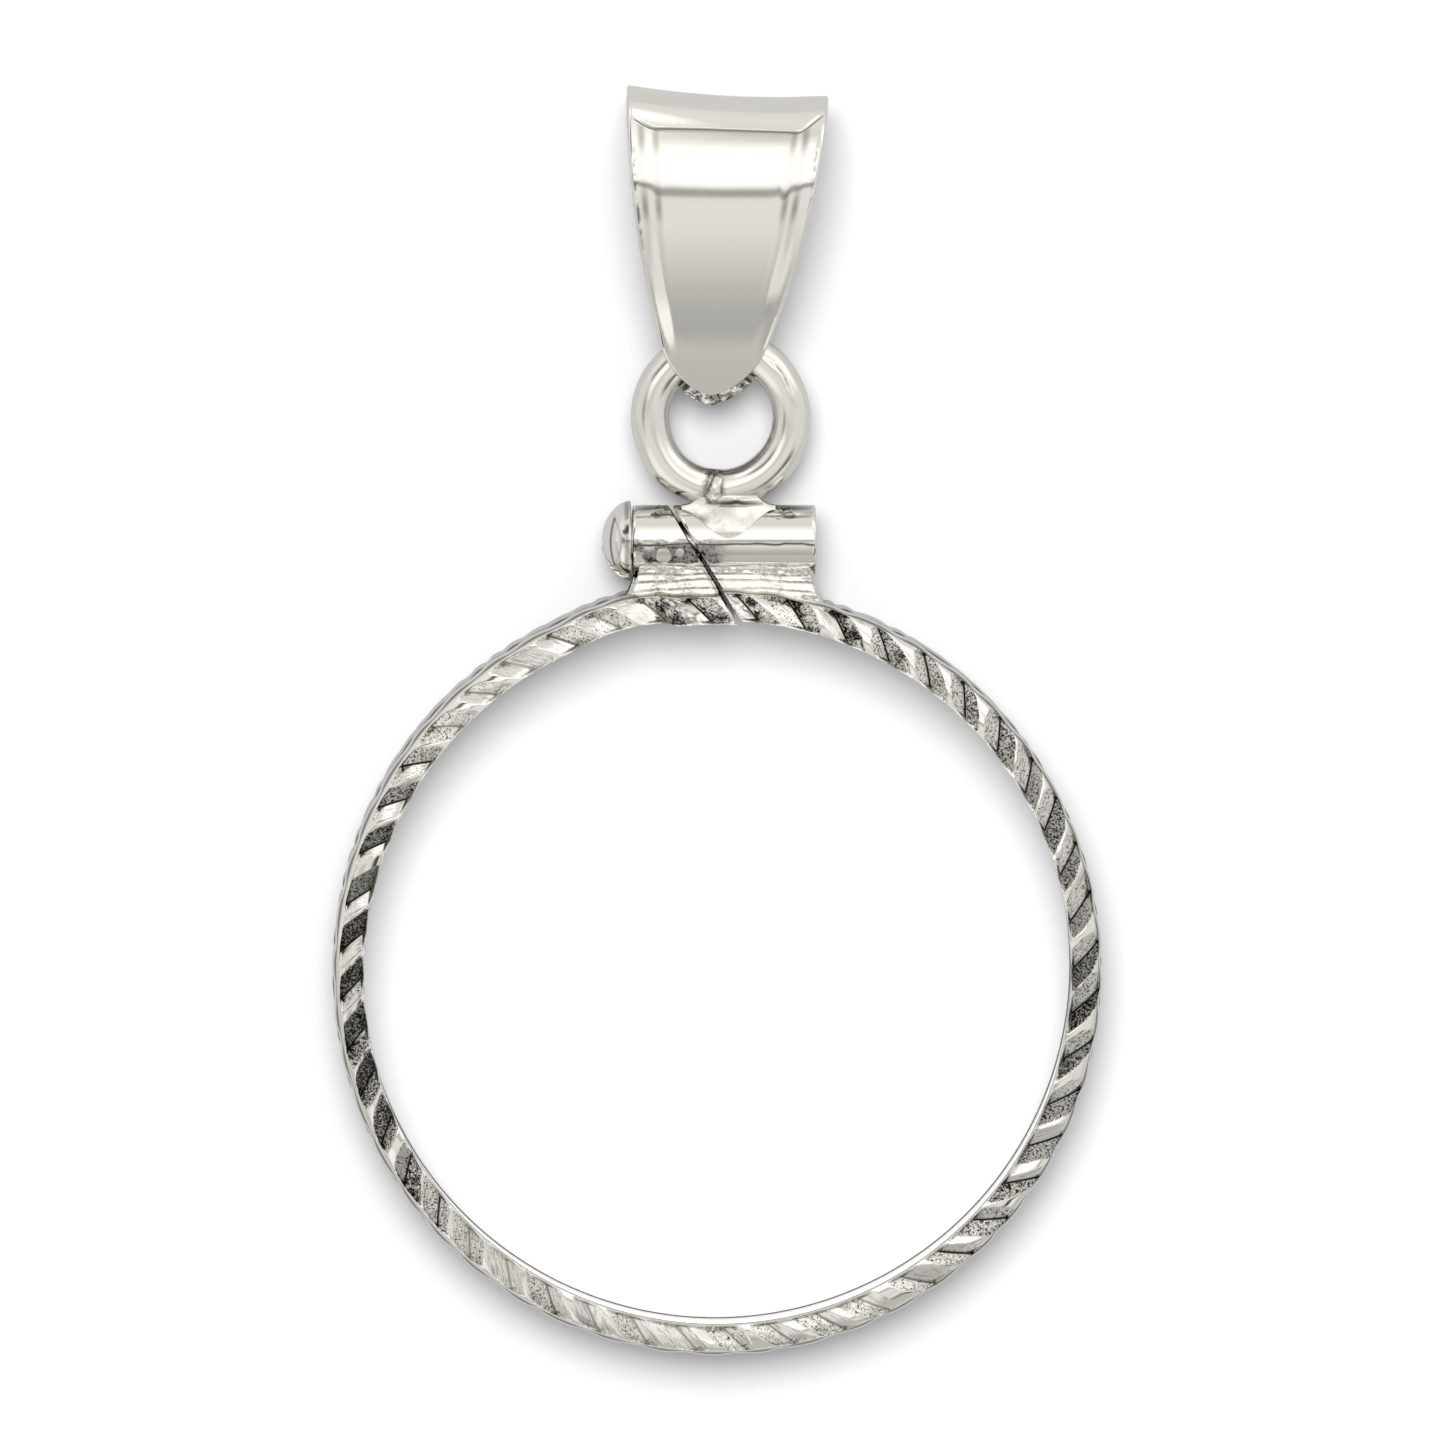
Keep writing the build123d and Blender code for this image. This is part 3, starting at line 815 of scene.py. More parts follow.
@dataclass
class ScrewBarrel:
    """The screw barrel in its two sawn halves, with the layered solder seat that joins it on.

    The layers are shares of the seat's height, and a pale spot is X, Y and radius.
    """

    radius: float = 0.92
    bore: float = 0.55
    edge: float = 0.06
    lip: float = 0.035
    left: float = -2.20
    right: float = 2.57
    y: float = 11.215
    ring_radius: float = 10.025
    seat_depth: float = 0.75
    seat_inset: float = 0.08
    seat_flare: float = 0.34
    seat_sink: float = 0.16
    seat_rise: float = 0.45
    crease_depth: float = 0.025
    solder_lift: float = 0.02
    around: int = 240
    layers: tuple = (0.20, 0.42, 0.58, 0.80)
    pale_spots: tuple = ((-1.40, 10.86, 0.22), (-2.02, 10.65, 0.17), (-0.98, 10.95, 0.12))
    saw: SawCut = field(default_factory=SawCut)

    def half(self, side: int) -> Object:
        """One half of the barrel: a section with rounded edges, turned round the barrel's axis.

        X runs from the barrel's end to the saw cut's face at that point's height, so the cut end
        is a slanting plane. Solder lies rough on the top and below the middle, with pale spots of
        clean metal, and its edge runs along the barrel as a dark hairline.

        Args:
            side: -1 for the half with the screw's head, 1 for the half with its tip.

        Returns:
            The half's object.
        """
        end = self.left if side < 0 else self.right
        runs = np.linspace(0, 0.98, 60)
        offsets = np.concatenate([[0, 0.3 * self.edge], self.edge + 0 * runs, [0, 0, 0]])
        share = np.concatenate([[0, 0], runs, [1, 1, 0]])
        outside = [self.radius - self.edge, self.radius - 0.3 * self.edge], self.radius + 0 * runs
        ring_radii = np.concatenate([*outside, [self.radius - self.lip, self.bore, self.bore]])
        # Painted shade: a faint dark edge round the barrel's end, darker toward and inside the bore.
        soil = np.concatenate([[0.2, 0], 0 * runs, [0.5, 1, 0.8]])
        turn = np.linspace(0, TAU, self.around, endpoint=False)[:, None]
        y = self.y + ring_radii * np.cos(turn)
        z = ring_radii * np.sin(turn)
        start = end - side * offsets
        x = start + (self.saw.x_at(y, side) - start) * share
        points = points_at(x, y, z)
        level = (y - self.y) / self.radius
        low = ease(0.15, -0.10, level) * ease(-0.2, 0.3, z)
        reach = ease(1.1, 0.35, np.abs(x - self.saw.x)) if side > 0 else 1
        top = ease(0.60, 0.82, level + 0.10 * soft_noise(points, 0.5, 13))
        patches = layered_noise(points, 0.45, 11)
        rough = low * reach * ease(-0.7, -0.2, patches) + top * ease(-0.1, 0.2, patches)
        for spot_x, spot_y, size in self.pale_spots:
            rough = rough * ease(0.8, 1.0, np.hypot(x - spot_x, y - spot_y) / size)
        waver = y - self.y + 0.05 + 0.03 * layered_noise(points, 0.5, 15)
        hairline = hump(0, 0.050, waver) * ease(0, 0.2, z) * (ring_radii > self.radius - 0.01)
        edges = 0.9 * hump(0.35, 0.3, rough) * ease(0.5, 0.7, level)
        stain = np.maximum(np.maximum(hairline, edges), 0.65 * rough * low)
        lift = self.solder_lift * rough * layered_noise(points, 0.16, 5)
        points[..., 1] += lift * np.cos(turn)
        points[..., 2] += lift * np.sin(turn)
        name = "barrel_head_half" if side < 0 else "barrel_tip_half"
        return loft_mesh(name, points, {"rough": rough, "dirt": np.maximum(soil, stain)}, closed=True)

    def seat(self, side: int) -> Object:
        """One half of the solder seat, a loaf between ring and barrel with wavy layers on its face.

        Its section is a closed loop, up the front face and down the back. The loop's lower edge
        follows the ring's circle and its upper edge the barrel's flank. Each layer ends in a crease
        along X, whose height wavers by two sines.

        Args:
            side: -1 for the half with the screw's head, 1 for the half with its tip.

        Returns:
            The half's object.
        """
        end = self.left + self.seat_inset if side < 0 else self.right - self.seat_inset
        rows = np.linspace(0, 1, 60)
        along = np.linspace(0, 1, 120)[:, None]
        front = np.concatenate([rows, rows[::-1]])
        face = np.concatenate([np.ones(60), -np.ones(60)])
        guess = end + (self.saw.x - end) * along
        low = np.sqrt(self.ring_radius**2 - guess**2) - self.seat_sink
        high = self.y - self.radius * self.seat_rise
        y = low + (high - low) * front
        start = end + side * self.seat_flare * (1 - front) ** 2.2
        x = start + (self.saw.x_at(y, side) - start) * along
        level = front + 0.025 * np.sin(1.3 * x + 1) + 0.012 * np.sin(4.3 * x)
        creases = 0
        for i, layer in enumerate(self.layers):
            wave = 0.016 * math.cos(3 * i) * np.sin((1.6 + 0.5 * i) * x + 2 * i)
            creases = creases + hump(layer, 0.030, level + wave)
        swell = self.seat_depth * (1.0 + 0.14 * (1 - level) - 0.06 * hump(0.60, 0.5, level))
        fade = 0.65 + 0.35 * ease(0, 0.12, np.abs(x - start))
        points = points_at(x, y, face * (swell - self.crease_depth * creases) * fade)
        points[..., 2] += face * 0.012 * layered_noise(points, 0.30, 3)
        from_cut = np.abs(x - self.saw.x_at(y, side))
        points[..., 2] += face * 0.05 * hump(0.05, 0.05, from_cut)
        broken = ease(-0.3, 0.3, layered_noise(points, 0.35, 17))
        rough = 0.05 + 0.35 * ease(0.2, 0.8, layered_noise(points, 0.4, 19))
        dirt = np.maximum(0.5 * creases * broken, 0.3 * hump(0.13, 0.035, from_cut))
        name = "seat_head_half" if side < 0 else "seat_tip_half"
        return loft_mesh(name, points, {"rough": rough, "dirt": dirt})

    def build(self, finishes: Finishes) -> None:
        """Builds and dresses both halves of barrel and seat."""
        for side in (-1, 1):
            dress(self.half(side), finishes.soldered, "bezel", "bezel_ring")
            dress(self.seat(side), finishes.soldered, "bezel", "bezel_ring", finishes.sawn)


@dataclass
class WireRing:
    """The closed ring of round wire and the foot of solder that it stands on.

    The foot's depths are its half depth at the ends and what the middle adds to it.
    """

    wire_radius: float = 0.50
    radius: float = 1.84
    lumps: float = 0.03
    worn: float = 0.035
    seam_height: float = 0.07
    bead_height: float = 0.14
    nick_depth: float = 0.05
    scratch_depth: float = 0.03
    x: float = 0.10
    y: float = 14.415
    seam_turn: float = math.radians(188)
    scratch_turn: float = math.radians(55)
    foot_x: float = 0.20
    foot_half: float = 1.22
    foot_height: float = 0.72
    foot_waist: float = 0.06
    foot_depths: tuple = (0.22, 0.30)
    foot_sink: float = 0.04
    barrel_top: float = 12.135
    skirt_reach: float = 0.76
    skirt_height: float = 0.93
    skirt_fall: float = 0.46
    skirt_side: float = 0.26

    def ring(self) -> Object:
        """The wire: a circle of wire radius carried round a circle, lumpy where its ends meet.

        It is worn flat at one place and scratched at another. The seam is rough with solder, a
        bead stands on it, and a nick runs beside the bead.
        """
        turn = np.linspace(0, TAU, 300, endpoint=False)[:, None]
        around = np.linspace(0, TAU, 96, endpoint=False)
        front = np.sin(around)
        flat = self.worn * hump(0.55, 0.35, turn % TAU) * ease(0.2, 0.9, front)
        thick = self.wire_radius * (1 + 0.012 * np.sin(3 * turn + 1)) - flat
        r = self.radius + thick * np.cos(around)
        points = points_at(self.x + r * np.sin(turn), self.y + r * np.cos(turn), thick * front)
        outwards = points - [self.x, self.y, 0]
        points += self.lumps * soft_noise(points, 0.75, 27)[..., None] * outwards / self.radius
        seam = hump(self.seam_turn, 0.20, turn) * ease(-0.6, 0.2, front)
        mess = layered_noise(points, 0.17, 21)
        bead = hump(self.seam_turn - 0.04, 0.12, turn) * ease(0.2, 0.8, front)
        points[..., 2] += self.seam_height * seam * mess + self.bead_height * bead
        nick = hump(self.seam_turn + 0.04 + 0.16 * (r - self.radius), 0.035, turn) * seam
        points[..., 2] -= self.nick_depth * nick
        track = r - self.radius - 0.10 - 0.03 * np.sin(9 * turn)
        scratch = hump(self.scratch_turn, 0.36, turn) * hump(0, 0.035, track) * ease(0.2, 0.6, front)
        points[..., 2] -= self.scratch_depth * scratch
        inner = ease(-0.75, -0.95, np.cos(around)) * hump(1.9, 0.7, turn % TAU) * 0.8
        rough = np.clip(0.7 * seam * ease(-0.2, 0.4, mess) + inner, 0, 1)
        outline = hump(self.seam_turn - 0.04, 0.19, turn) * ease(0, 0.3, front) - 1.5 * bead
        dirt = 0.9 * nick + 0.8 * scratch * ease(-0.6, 0.1, soft_noise(points, 0.15, 25))
        dirt = np.clip(np.maximum(dirt, 2.0 * outline * ease(-0.7, 0.3, mess)), 0, 1)
        return loft_mesh("wire_ring", points, {"rough": rough, "dirt": dirt}, closed=True)

    def foot(self) -> Object:
        """The foot: rounded sections along X between barrel and wire, tallest in the middle.

        With u from -1 at one end to 1 at the other, height and depth rise as the square of 1 less
        u squared, so that both flanks are hollow fillets. In front, a skirt of solder falls from
        the barrel's front to the wire's by the square of y, and to its sides by the square of u.
        """
        u = np.linspace(-1, 1, 120)[:, None]
        around = np.linspace(0, TAU, 200, endpoint=False)
        half = self.foot_waist + self.foot_height * hump(0, 1, u) ** 1.2
        deep = self.foot_depths[0] + self.foot_depths[1] * hump(0, 1, u) ** 0.7
        x = self.x + self.foot_x + self.foot_half * u
        y = self.barrel_top - self.foot_sink + half * np.cos(around)
        z = deep * np.sin(around)
        down = self.skirt_fall * (y - self.barrel_top + self.skirt_reach) ** 2
        skirt = self.skirt_height - down - self.skirt_side * u**2
        z = np.where(z > 0.1, np.maximum(z, skirt), z)
        points = points_at(x, y, z)
        waver = 0.05 * soft_noise(points, 0.25, 35) + 0.03 * np.sin(4 * x)
        crack = hump(self.barrel_top + 0.10, 0.095, y + waver) * hump(0.45, 0.75, x) ** 0.3 * ease(0, 0.1, z)
        rough = 0.2 * ease(0.1, 0.6, layered_noise(points, 0.3, 31))
        points[..., 2] += 0.012 * soft_noise(points, 0.45, 23) - 0.08 * crack
        return loft_mesh("ring_foot", points, {"rough": rough, "dirt": crack})

    def build(self, finishes: Finishes) -> None:
        """Builds and dresses the wire ring and its foot."""
        for piece in (self.ring(), self.foot()):
            dress(piece, finishes.wire, "bezel", "bezel_ring")


@dataclass
class StrapBail:
    """The tapered strap bail: its side view, its outline, its bordered panel and its solder foot.

    Pairs of lines and climbs are left and right, and the lines are shares of the half width. The
    groove depths are the outer line's and the inner one's. The hole is the wire ring's, as X, Y and
    radius in the bail's own frame, and the pivot is where that frame's origin goes.
    """

    length: float = 7.85
    width: float = 5.25
    depth: float = 3.585
    wall: float = 0.42
    tail: float = 1.25
    tip_depth: float = 1.40
    crest: float = 3.70
    flare: float = 0.15
    tip_length: float = 1.15
    tip_half: float = 0.86
    edge_height: float = 0.56
    edge_half: float = 0.828
    panel_drop: float = 0.74
    hook_radius: float = 1.00
    lean: float = math.radians(3.1)
    gap: float = 0.02
    pivot: tuple = (-0.089, 16.245, 0.0)
    hole: tuple = (0.287, -1.817, 1.26)
    squeeze: float = 0.18
    trim: float = 0.10
    skew: float = 0.045
    roll: float = 0.055
    edge: float = 0.10
    crease_reach: tuple = (0.16, 0.80)
    crease_bow: float = 0.09
    horn_start: float = 0.72
    horn_climbs: tuple = (0.25, 0.65)
    outer_line: tuple = (0.865, 0.805)
    inner_line: tuple = (0.715, 0.690)
    groove_depths: tuple = (0.007, 0.009)
    bead_height: float = 0.002
    crease_depth: float = 0.030
    panel_depth: float = 0.020
    solder_depth: float = 0.62
    grain_height: float = 0.045

    def side_path(self) -> tuple:
        """The outer face seen from the side, from the front tip over the fold to the back tip.

        The front leaf is an arc that ends level at the crest, the front of the fold a quarter of
        an ellipse, its back a quarter of a circle, and the back leaf a straight line. The points
        are closest where the panel's top edge crosses.

        Returns:
            Places and outward directions, each as Y and Z, the distance run so far, and that
            distance at the panel's top edge.
        """
        half, top = self.depth / 2, self.length - self.tail
        drop, run = half - self.tip_depth / 2, self.crest + self.tail
        leaf = (run**2 + drop**2) / (2 * drop)
        bend = np.linspace(math.asin((run - self.trim) / leaf), 0, 300)
        front = np.column_stack([self.crest - leaf * np.sin(bend), half - leaf + leaf * np.cos(bend)])
        sweep = np.linspace(0, math.pi / 2, 300)[1:]
        over = np.column_stack([self.crest + (top - self.crest) * np.sin(sweep), half * np.cos(sweep)])
        centre = top - half
        slope = math.asin((half - self.hook_radius) / centre)
        round_back = np.linspace(math.pi / 2, math.pi + slope, 200)[1:]
        back = np.column_stack([centre + half * np.sin(round_back), half * np.cos(round_back)])
        foot_y = self.trim - self.tail
        foot_z = back[-1, 1] + (back[-1, 0] - foot_y) * math.tan(slope)
        line = np.linspace(back[-1], (foot_y, foot_z), 100)[1:]
        dense = np.concatenate([front, over, back, line])
        run_to = np.concatenate([[0], np.cumsum(np.hypot(*np.diff(dense, axis=0).T))])
        panel_top = np.interp(top - self.panel_drop, over[:, 0], run_to[len(front) :][: len(over)])
        near, far = panel_top - self.crease_reach[0], panel_top + self.crease_reach[1]
        runs = [np.linspace(0, 1, 130) ** 1.4 * near, np.linspace(near, far, 110)[1:]]
        spaced = np.concatenate([*runs, np.linspace(far, run_to[-1], 120)[1:]])
        path = np.column_stack([np.interp(spaced, run_to, column) for column in dense.T])
        ahead = np.gradient(path, spaced, axis=0)
        ahead /= np.linalg.norm(ahead, axis=1)[:, None]
        return path, np.column_stack([-ahead[:, 1], ahead[:, 0]]), spaced, panel_top

    def half_width(self, y: Array, past: float = 0.0) -> Array:
        """Half of the outline's width at a height: one long circle's arc, rounded off at the tip.

        The arc's half width is multiplied by the root of 1 less the square of what is left of the
        tip's length, which is a quarter of an ellipse.

        Args:
            y: Height along the bail.
            past: How far outside the bail's own outline to go, or inside it if negative.

        Returns:
            The half width there, at least a hundredth of a millimetre.
        """
        left = 1 - np.clip((y + self.tail + past) / self.tip_length, 0, 1)
        a = np.array([-self.tail, self.tip_half])
        b = np.array([self.edge_height * self.length - self.tail, self.edge_half * self.width / 2])
        c = np.array([self.length - self.tail, self.width / 2])
        system = 2 * np.array([b - a, c - a])
        centre = np.linalg.solve(system, np.array([b @ b - a @ a, c @ c - a @ a]))
        radius = np.linalg.norm(a - centre)
        side = centre[1] + np.sqrt(np.clip(radius**2 - (y - centre[0]) ** 2, 1e-4, None))
        return (side + max(past, 0)) * np.sqrt(np.clip(1 - left**2, 1e-4, None))

    def past_crease(self, share: Array, past_top: Array) -> Array:
        """Distance up the strap from the crease, which is bowed and climbs towards the horns.

        Args:
            share: How far out across the strap, from -1 to 1.
            past_top: Distance along the strap from the panel's top edge.

        Returns:
            The distance, negative on the panel.
        """
        side = np.abs(share)
        climb = np.where(share < 0, *self.horn_climbs) * ease(self.horn_start, 1.05, side)
        return past_top + self.crease_bow * (np.minimum(side, self.horn_start) / self.horn_start) ** 2 - climb

    def border_lines(self, share: Array) -> tuple:
        """Where the outer and the inner border line run on that side, as shares of the half width."""
        return tuple(np.where(share < 0, *line) for line in (self.outer_line, self.inner_line))

    def relief(self, share: Array, y: Array, run: Array, panel_top: float) -> Array:
        """The stamped front: two grooves along each edge with a bead between, and a sunk panel.

        Below the dark of the grooves the borders roll off outwards.

        Args:
            share: How far out across the strap, from -1 to 1.
            y: Height along the bail.
            run: Distance along the strap from its front tip.
            panel_top: That distance at the panel's top edge.

        Returns:
            How far the face stands out, in millimetres.
        """
        side = np.abs(share)
        outer, inner = self.border_lines(share)
        below = self.past_crease(share, run - panel_top)
        border = ease(0.12, -0.12, below) * ease(0.4, 4.2, y)
        outer_depth, inner_depth = self.groove_depths
        groove = outer_depth * hump(outer, 0.085, side) + inner_depth * hump(inner, 0.100, side)
        bead = self.bead_height * hump((outer + inner) / 2, 0.06, side)
        crease = self.crease_depth * hump(0, 0.07, below) * ease(1.0, 0.93, side)
        panel = self.panel_depth * ease(0.02, -0.06, below) * ease(0.74, 0.62, side) * ease(0.4, 4.2, y)
        rolled = self.roll * ease(inner, 1.0, side) * ease(-0.6, 1.4, y) * ease(4.6, 3.6, y)
        return border * (bead - groove) - crease - panel - rolled

    def place(self, points: Array) -> Array:
        """Tilts the bail onto its back, leans it in its plane and moves it to the wire it hangs on."""
        half = self.depth / 2
        centre = self.length - self.tail - half
        tilt = math.asin((half + self.gap + FLOOR_Z) / centre)
        x, y, z = points[..., 0], points[..., 1], points[..., 2]
        cos, sin = math.cos(tilt), math.sin(tilt)
        y, z = y * cos - z * sin, y * sin + z * cos
        cos, sin = math.cos(self.lean), math.sin(self.lean)
        x, y = x * cos + y * sin, y * cos - x * sin
        return points_at(x, y, z) + np.array(self.pivot)

    def strap(self) -> Object:
        """The strap: a section with rounded edges and relief on its face, carried along the path."""
        path, out, run, panel_top = self.side_path()
        across = np.linspace(-1, 1, 121)
        corner = np.linspace(0, math.pi / 2, 5)[1:-1]
        back = np.linspace(1, -1, 13)
        y, z, run = path[:, :1], path[:, 1:], run[:, None]
        w = self.half_width(y, -self.trim)
        face = np.where(run > panel_top + 1.0, 0, self.relief(across, y, run, panel_top))
        flat = np.maximum(w - self.edge, 0.02)
        right_x = flat + self.edge * np.sin(np.concatenate([corner, corner[::-1]]))
        fall = self.edge * (1 - np.cos(corner))
        right_h = np.concatenate([-fall, fall[::-1] - self.wall]) + 0 * w
        x = np.concatenate([flat * across, right_x, flat * back, -right_x[:, ::-1]], axis=1)
        height = np.concatenate([face, right_h, -self.wall + 0 * (w + back), right_h[:, ::-1]], axis=1)
        top = self.length - self.tail
        rise = self.flare * (x / (self.width / 2)) ** 2 * ease(1.5, top, y)
        rise = rise + self.skew * x * ease(6.3, 5.4, y)
        points = points_at(x, y + out[:, :1] * height + rise, z + out[:, 1:] * height)
        ragged = 0.02 * soft_noise(points, 0.18, 71) * hump(3.6, 1.6, points[..., 1])
        points[..., 0] += ragged * ease(-0.95, -1.0, x / w)
        side = np.abs(x / w)
        below = self.past_crease(x / w, run - panel_top)
        outer_line, inner_line = self.border_lines(x)
        # The border grooves are drawn as dark lines, darker at two heights along the strap.
        lines = 0.50 * hump(outer_line, 0.060, side) + 0.45 * hump(inner_line, 0.060, side)
        dark = 0.30 + 0.70 * hump(5.6, 0.5, y) + 0.90 * hump(3.9, 0.55, y)
        lines = lines * dark * ease(1.6, 3.4, y) * (below < 0)
        outside = np.arange(x.shape[1]) < len(across)
        # Painted shade: the panel darkens just below its top edge, where it steps down.
        shade = 0.20 * hump(-0.16, 0.36, below) * (below < 0) * ease(0.72, 0.66, side)
        # Painted shade: a dark line along the crease at the panel's top edge.
        crease = 0.8 * hump(0.01, 0.06, below) * ease(1.0, 0.9, side)
        dirt = np.maximum(crease, np.maximum(lines, shade)) * outside
        left_edge = hump(-0.955, 0.040, x / w) * hump(4.1, 1.9, y)
        right_edge = 0.7 * hump(0.945, 0.035, x / w) * hump(5.0, 0.9, y)
        specks = ease(-0.25, 0.25, layered_noise(points, 0.11, 73, layers=2)) * outside
        dirt = np.maximum(dirt, 0.9 * specks * (left_edge + right_edge))
        return loft_mesh("bail_strap", self.place(points), {"dirt": dirt}, sharp=math.radians(50))

    def foot(self) -> Object:
        """The solder that closes the foot: a lump between the leaves, granular where it squeezed out.

        Sections are stacked up from the tip. Each is a rounded slab that reaches a little past the
        strap's outline, but stays inside the wire ring's hole: no farther from the hole's middle
        than the root of its radius squared less the height squared.
        """
        level = np.linspace(0, 1, 90)[:, None] ** 1.5
        around = np.linspace(0, TAU, 200, endpoint=False)
        y = -self.tail - self.squeeze + 0.90 * level
        outline = self.half_width(y, self.squeeze)
        hole_x, hole_y, hole_radius = self.hole
        reach = np.sqrt(np.clip(hole_radius**2 - (y - hole_y) ** 2, 0.01, None))
        right = np.maximum(np.minimum(outline, hole_x + reach), 0.02)
        left = np.maximum(np.minimum(outline, reach - hole_x), 0.02)
        spread = np.sign(np.cos(around)) * np.abs(np.cos(around)) ** 0.7
        x = np.where(spread > 0, right, left) * spread
        deep = self.solder_depth * ease(-0.3, 0.06, level) * ease(1.1, 0.9, level)
        z = deep * np.sign(np.sin(around)) * np.abs(np.sin(around)) ** 0.7
        points = points_at(x, y, z + 0.05)
        grains = layered_noise(points, 0.17, 41, layers=2)
        points += self.grain_height * grains[..., None] * points_at(np.sign(spread), -0.6, np.sign(z[0]))
        rough = ease(0.25, -0.25, grains)
        dirt = 0.6 * ease(0.1, -0.5, grains)
        return loft_mesh("bail_solder", self.place(points), {"rough": rough, "dirt": dirt})

    def build(self, finishes: Finishes) -> None:
        """Builds and dresses the strap and its solder foot."""
        dress(self.strap(), finishes.polished, "bezel", "bail")
        dress(self.foot(), finishes.soldered, "bezel", "bail")


@dataclass
class ClampScrew:
    """The clamp screw: a domed head with a slot across it, and a plain shank."""

    head_radius: float = 1.04
    head_height: float = 0.76
    head_rim: float = 0.16
    shank_radius: float = 0.50
    shank_length: float = 4.70
    rim_round: float = 0.11
    rim_start: float = 0.88
    rim_land: float = 0.985
    shank_taper: float = 0.08
    shank_fillet: float = 0.02
    slot_width: float = 0.24
    slot_depth: float = 0.30
    slot_turn: float = math.radians(62)
    left: float = -2.24
    y: float = 11.215

    def build(self, finishes: Finishes) -> None:
        """Builds and dresses the screw.

        The head is a stack of rings from the middle of the dome to the shank. On the dome the
        height is the dome's arc, less the slot's depth where the point lies within the slot, and
        less a rounding at the rim that grows by the cube of the radius. Two dark lines that curve by
        the square of y are painted reflection, the outline of a lens-shaped highlight, and one dark
        line runs along the rim.
        """
        turn = np.linspace(0, TAU, 192, endpoint=False)[None, :]
        dome = self.head_height - self.head_rim
        arc = (self.head_radius**2 + dome**2) / (2 * dome)
        r = np.concatenate([np.linspace(0.01, self.rim_land, 70), [0.995, 1.0]])[:, None] * self.head_radius
        height = self.head_height - arc + np.sqrt(arc**2 - r**2)
        across = r * np.cos(turn - self.slot_turn)
        slot = ease(self.slot_width / 2 + 0.02, self.slot_width / 2 - 0.02, np.abs(across))
        corner = np.clip((r / self.head_radius - self.rim_start) / (1 - self.rim_start), 0, 1) ** 3
        height = np.maximum(height - slot * self.slot_depth, 0.1) - self.rim_round * corner
        shank, end = self.shank_radius / self.head_radius, -self.shank_length
        tip = (self.shank_radius - self.shank_taper) / self.head_radius
        rest = [(1, 0.02), (0.975, 0), (shank + 0.03, 0), (shank, -self.shank_fillet)]
        rest = np.array([*rest, (shank, end + self.shank_taper), (tip, end)])
        radius = np.concatenate([r, rest[:, :1] * self.head_radius]) + 0 * turn
        along = np.concatenate([height, rest[:, 1:] + 0 * turn])
        y = self.y + radius * np.cos(turn)
        z = radius * np.sin(turn)
        rise = y - self.y
        # Painted reflection: two dark curves on the dome, the outline of a lens-shaped reflected highlight.
        lens = 0.8 * hump(0.533 - 0.29 * rise**2, 0.045, along)
        lens = lens + 0.4 * hump(0.27 + 0.44 * rise**2, 0.03, along)
        lens = lens * ease(0.68, 0.58, np.abs(rise)) * (z > 0)
        # The two curves and a dark line along the rim go into the dark field.
        dirt = (lens + 0.6 * hump(self.rim_land * self.head_radius, 0.03, radius)) * (along > 0.05)
        points = points_at(self.left - along, y, z)
        screw = loft_mesh("clamp_screw_dressed", points, {"dirt": dirt}, sharp=math.radians(30))
        dress(screw, finishes.polished, "screw", "clamp_screw")


@dataclass(frozen=True)
class StudioCard:
    """One card of the light tent: a soft-edged patch of the dome with its own brightness.

    Its middle lies at two angles from straight up, towards +X and +Y. It is whole within the inner
    angle from there and gone beyond the outer one. All four are in degrees.
    """

    toward_x: float
    toward_y: float
    inner: float
    outer: float
    level: float


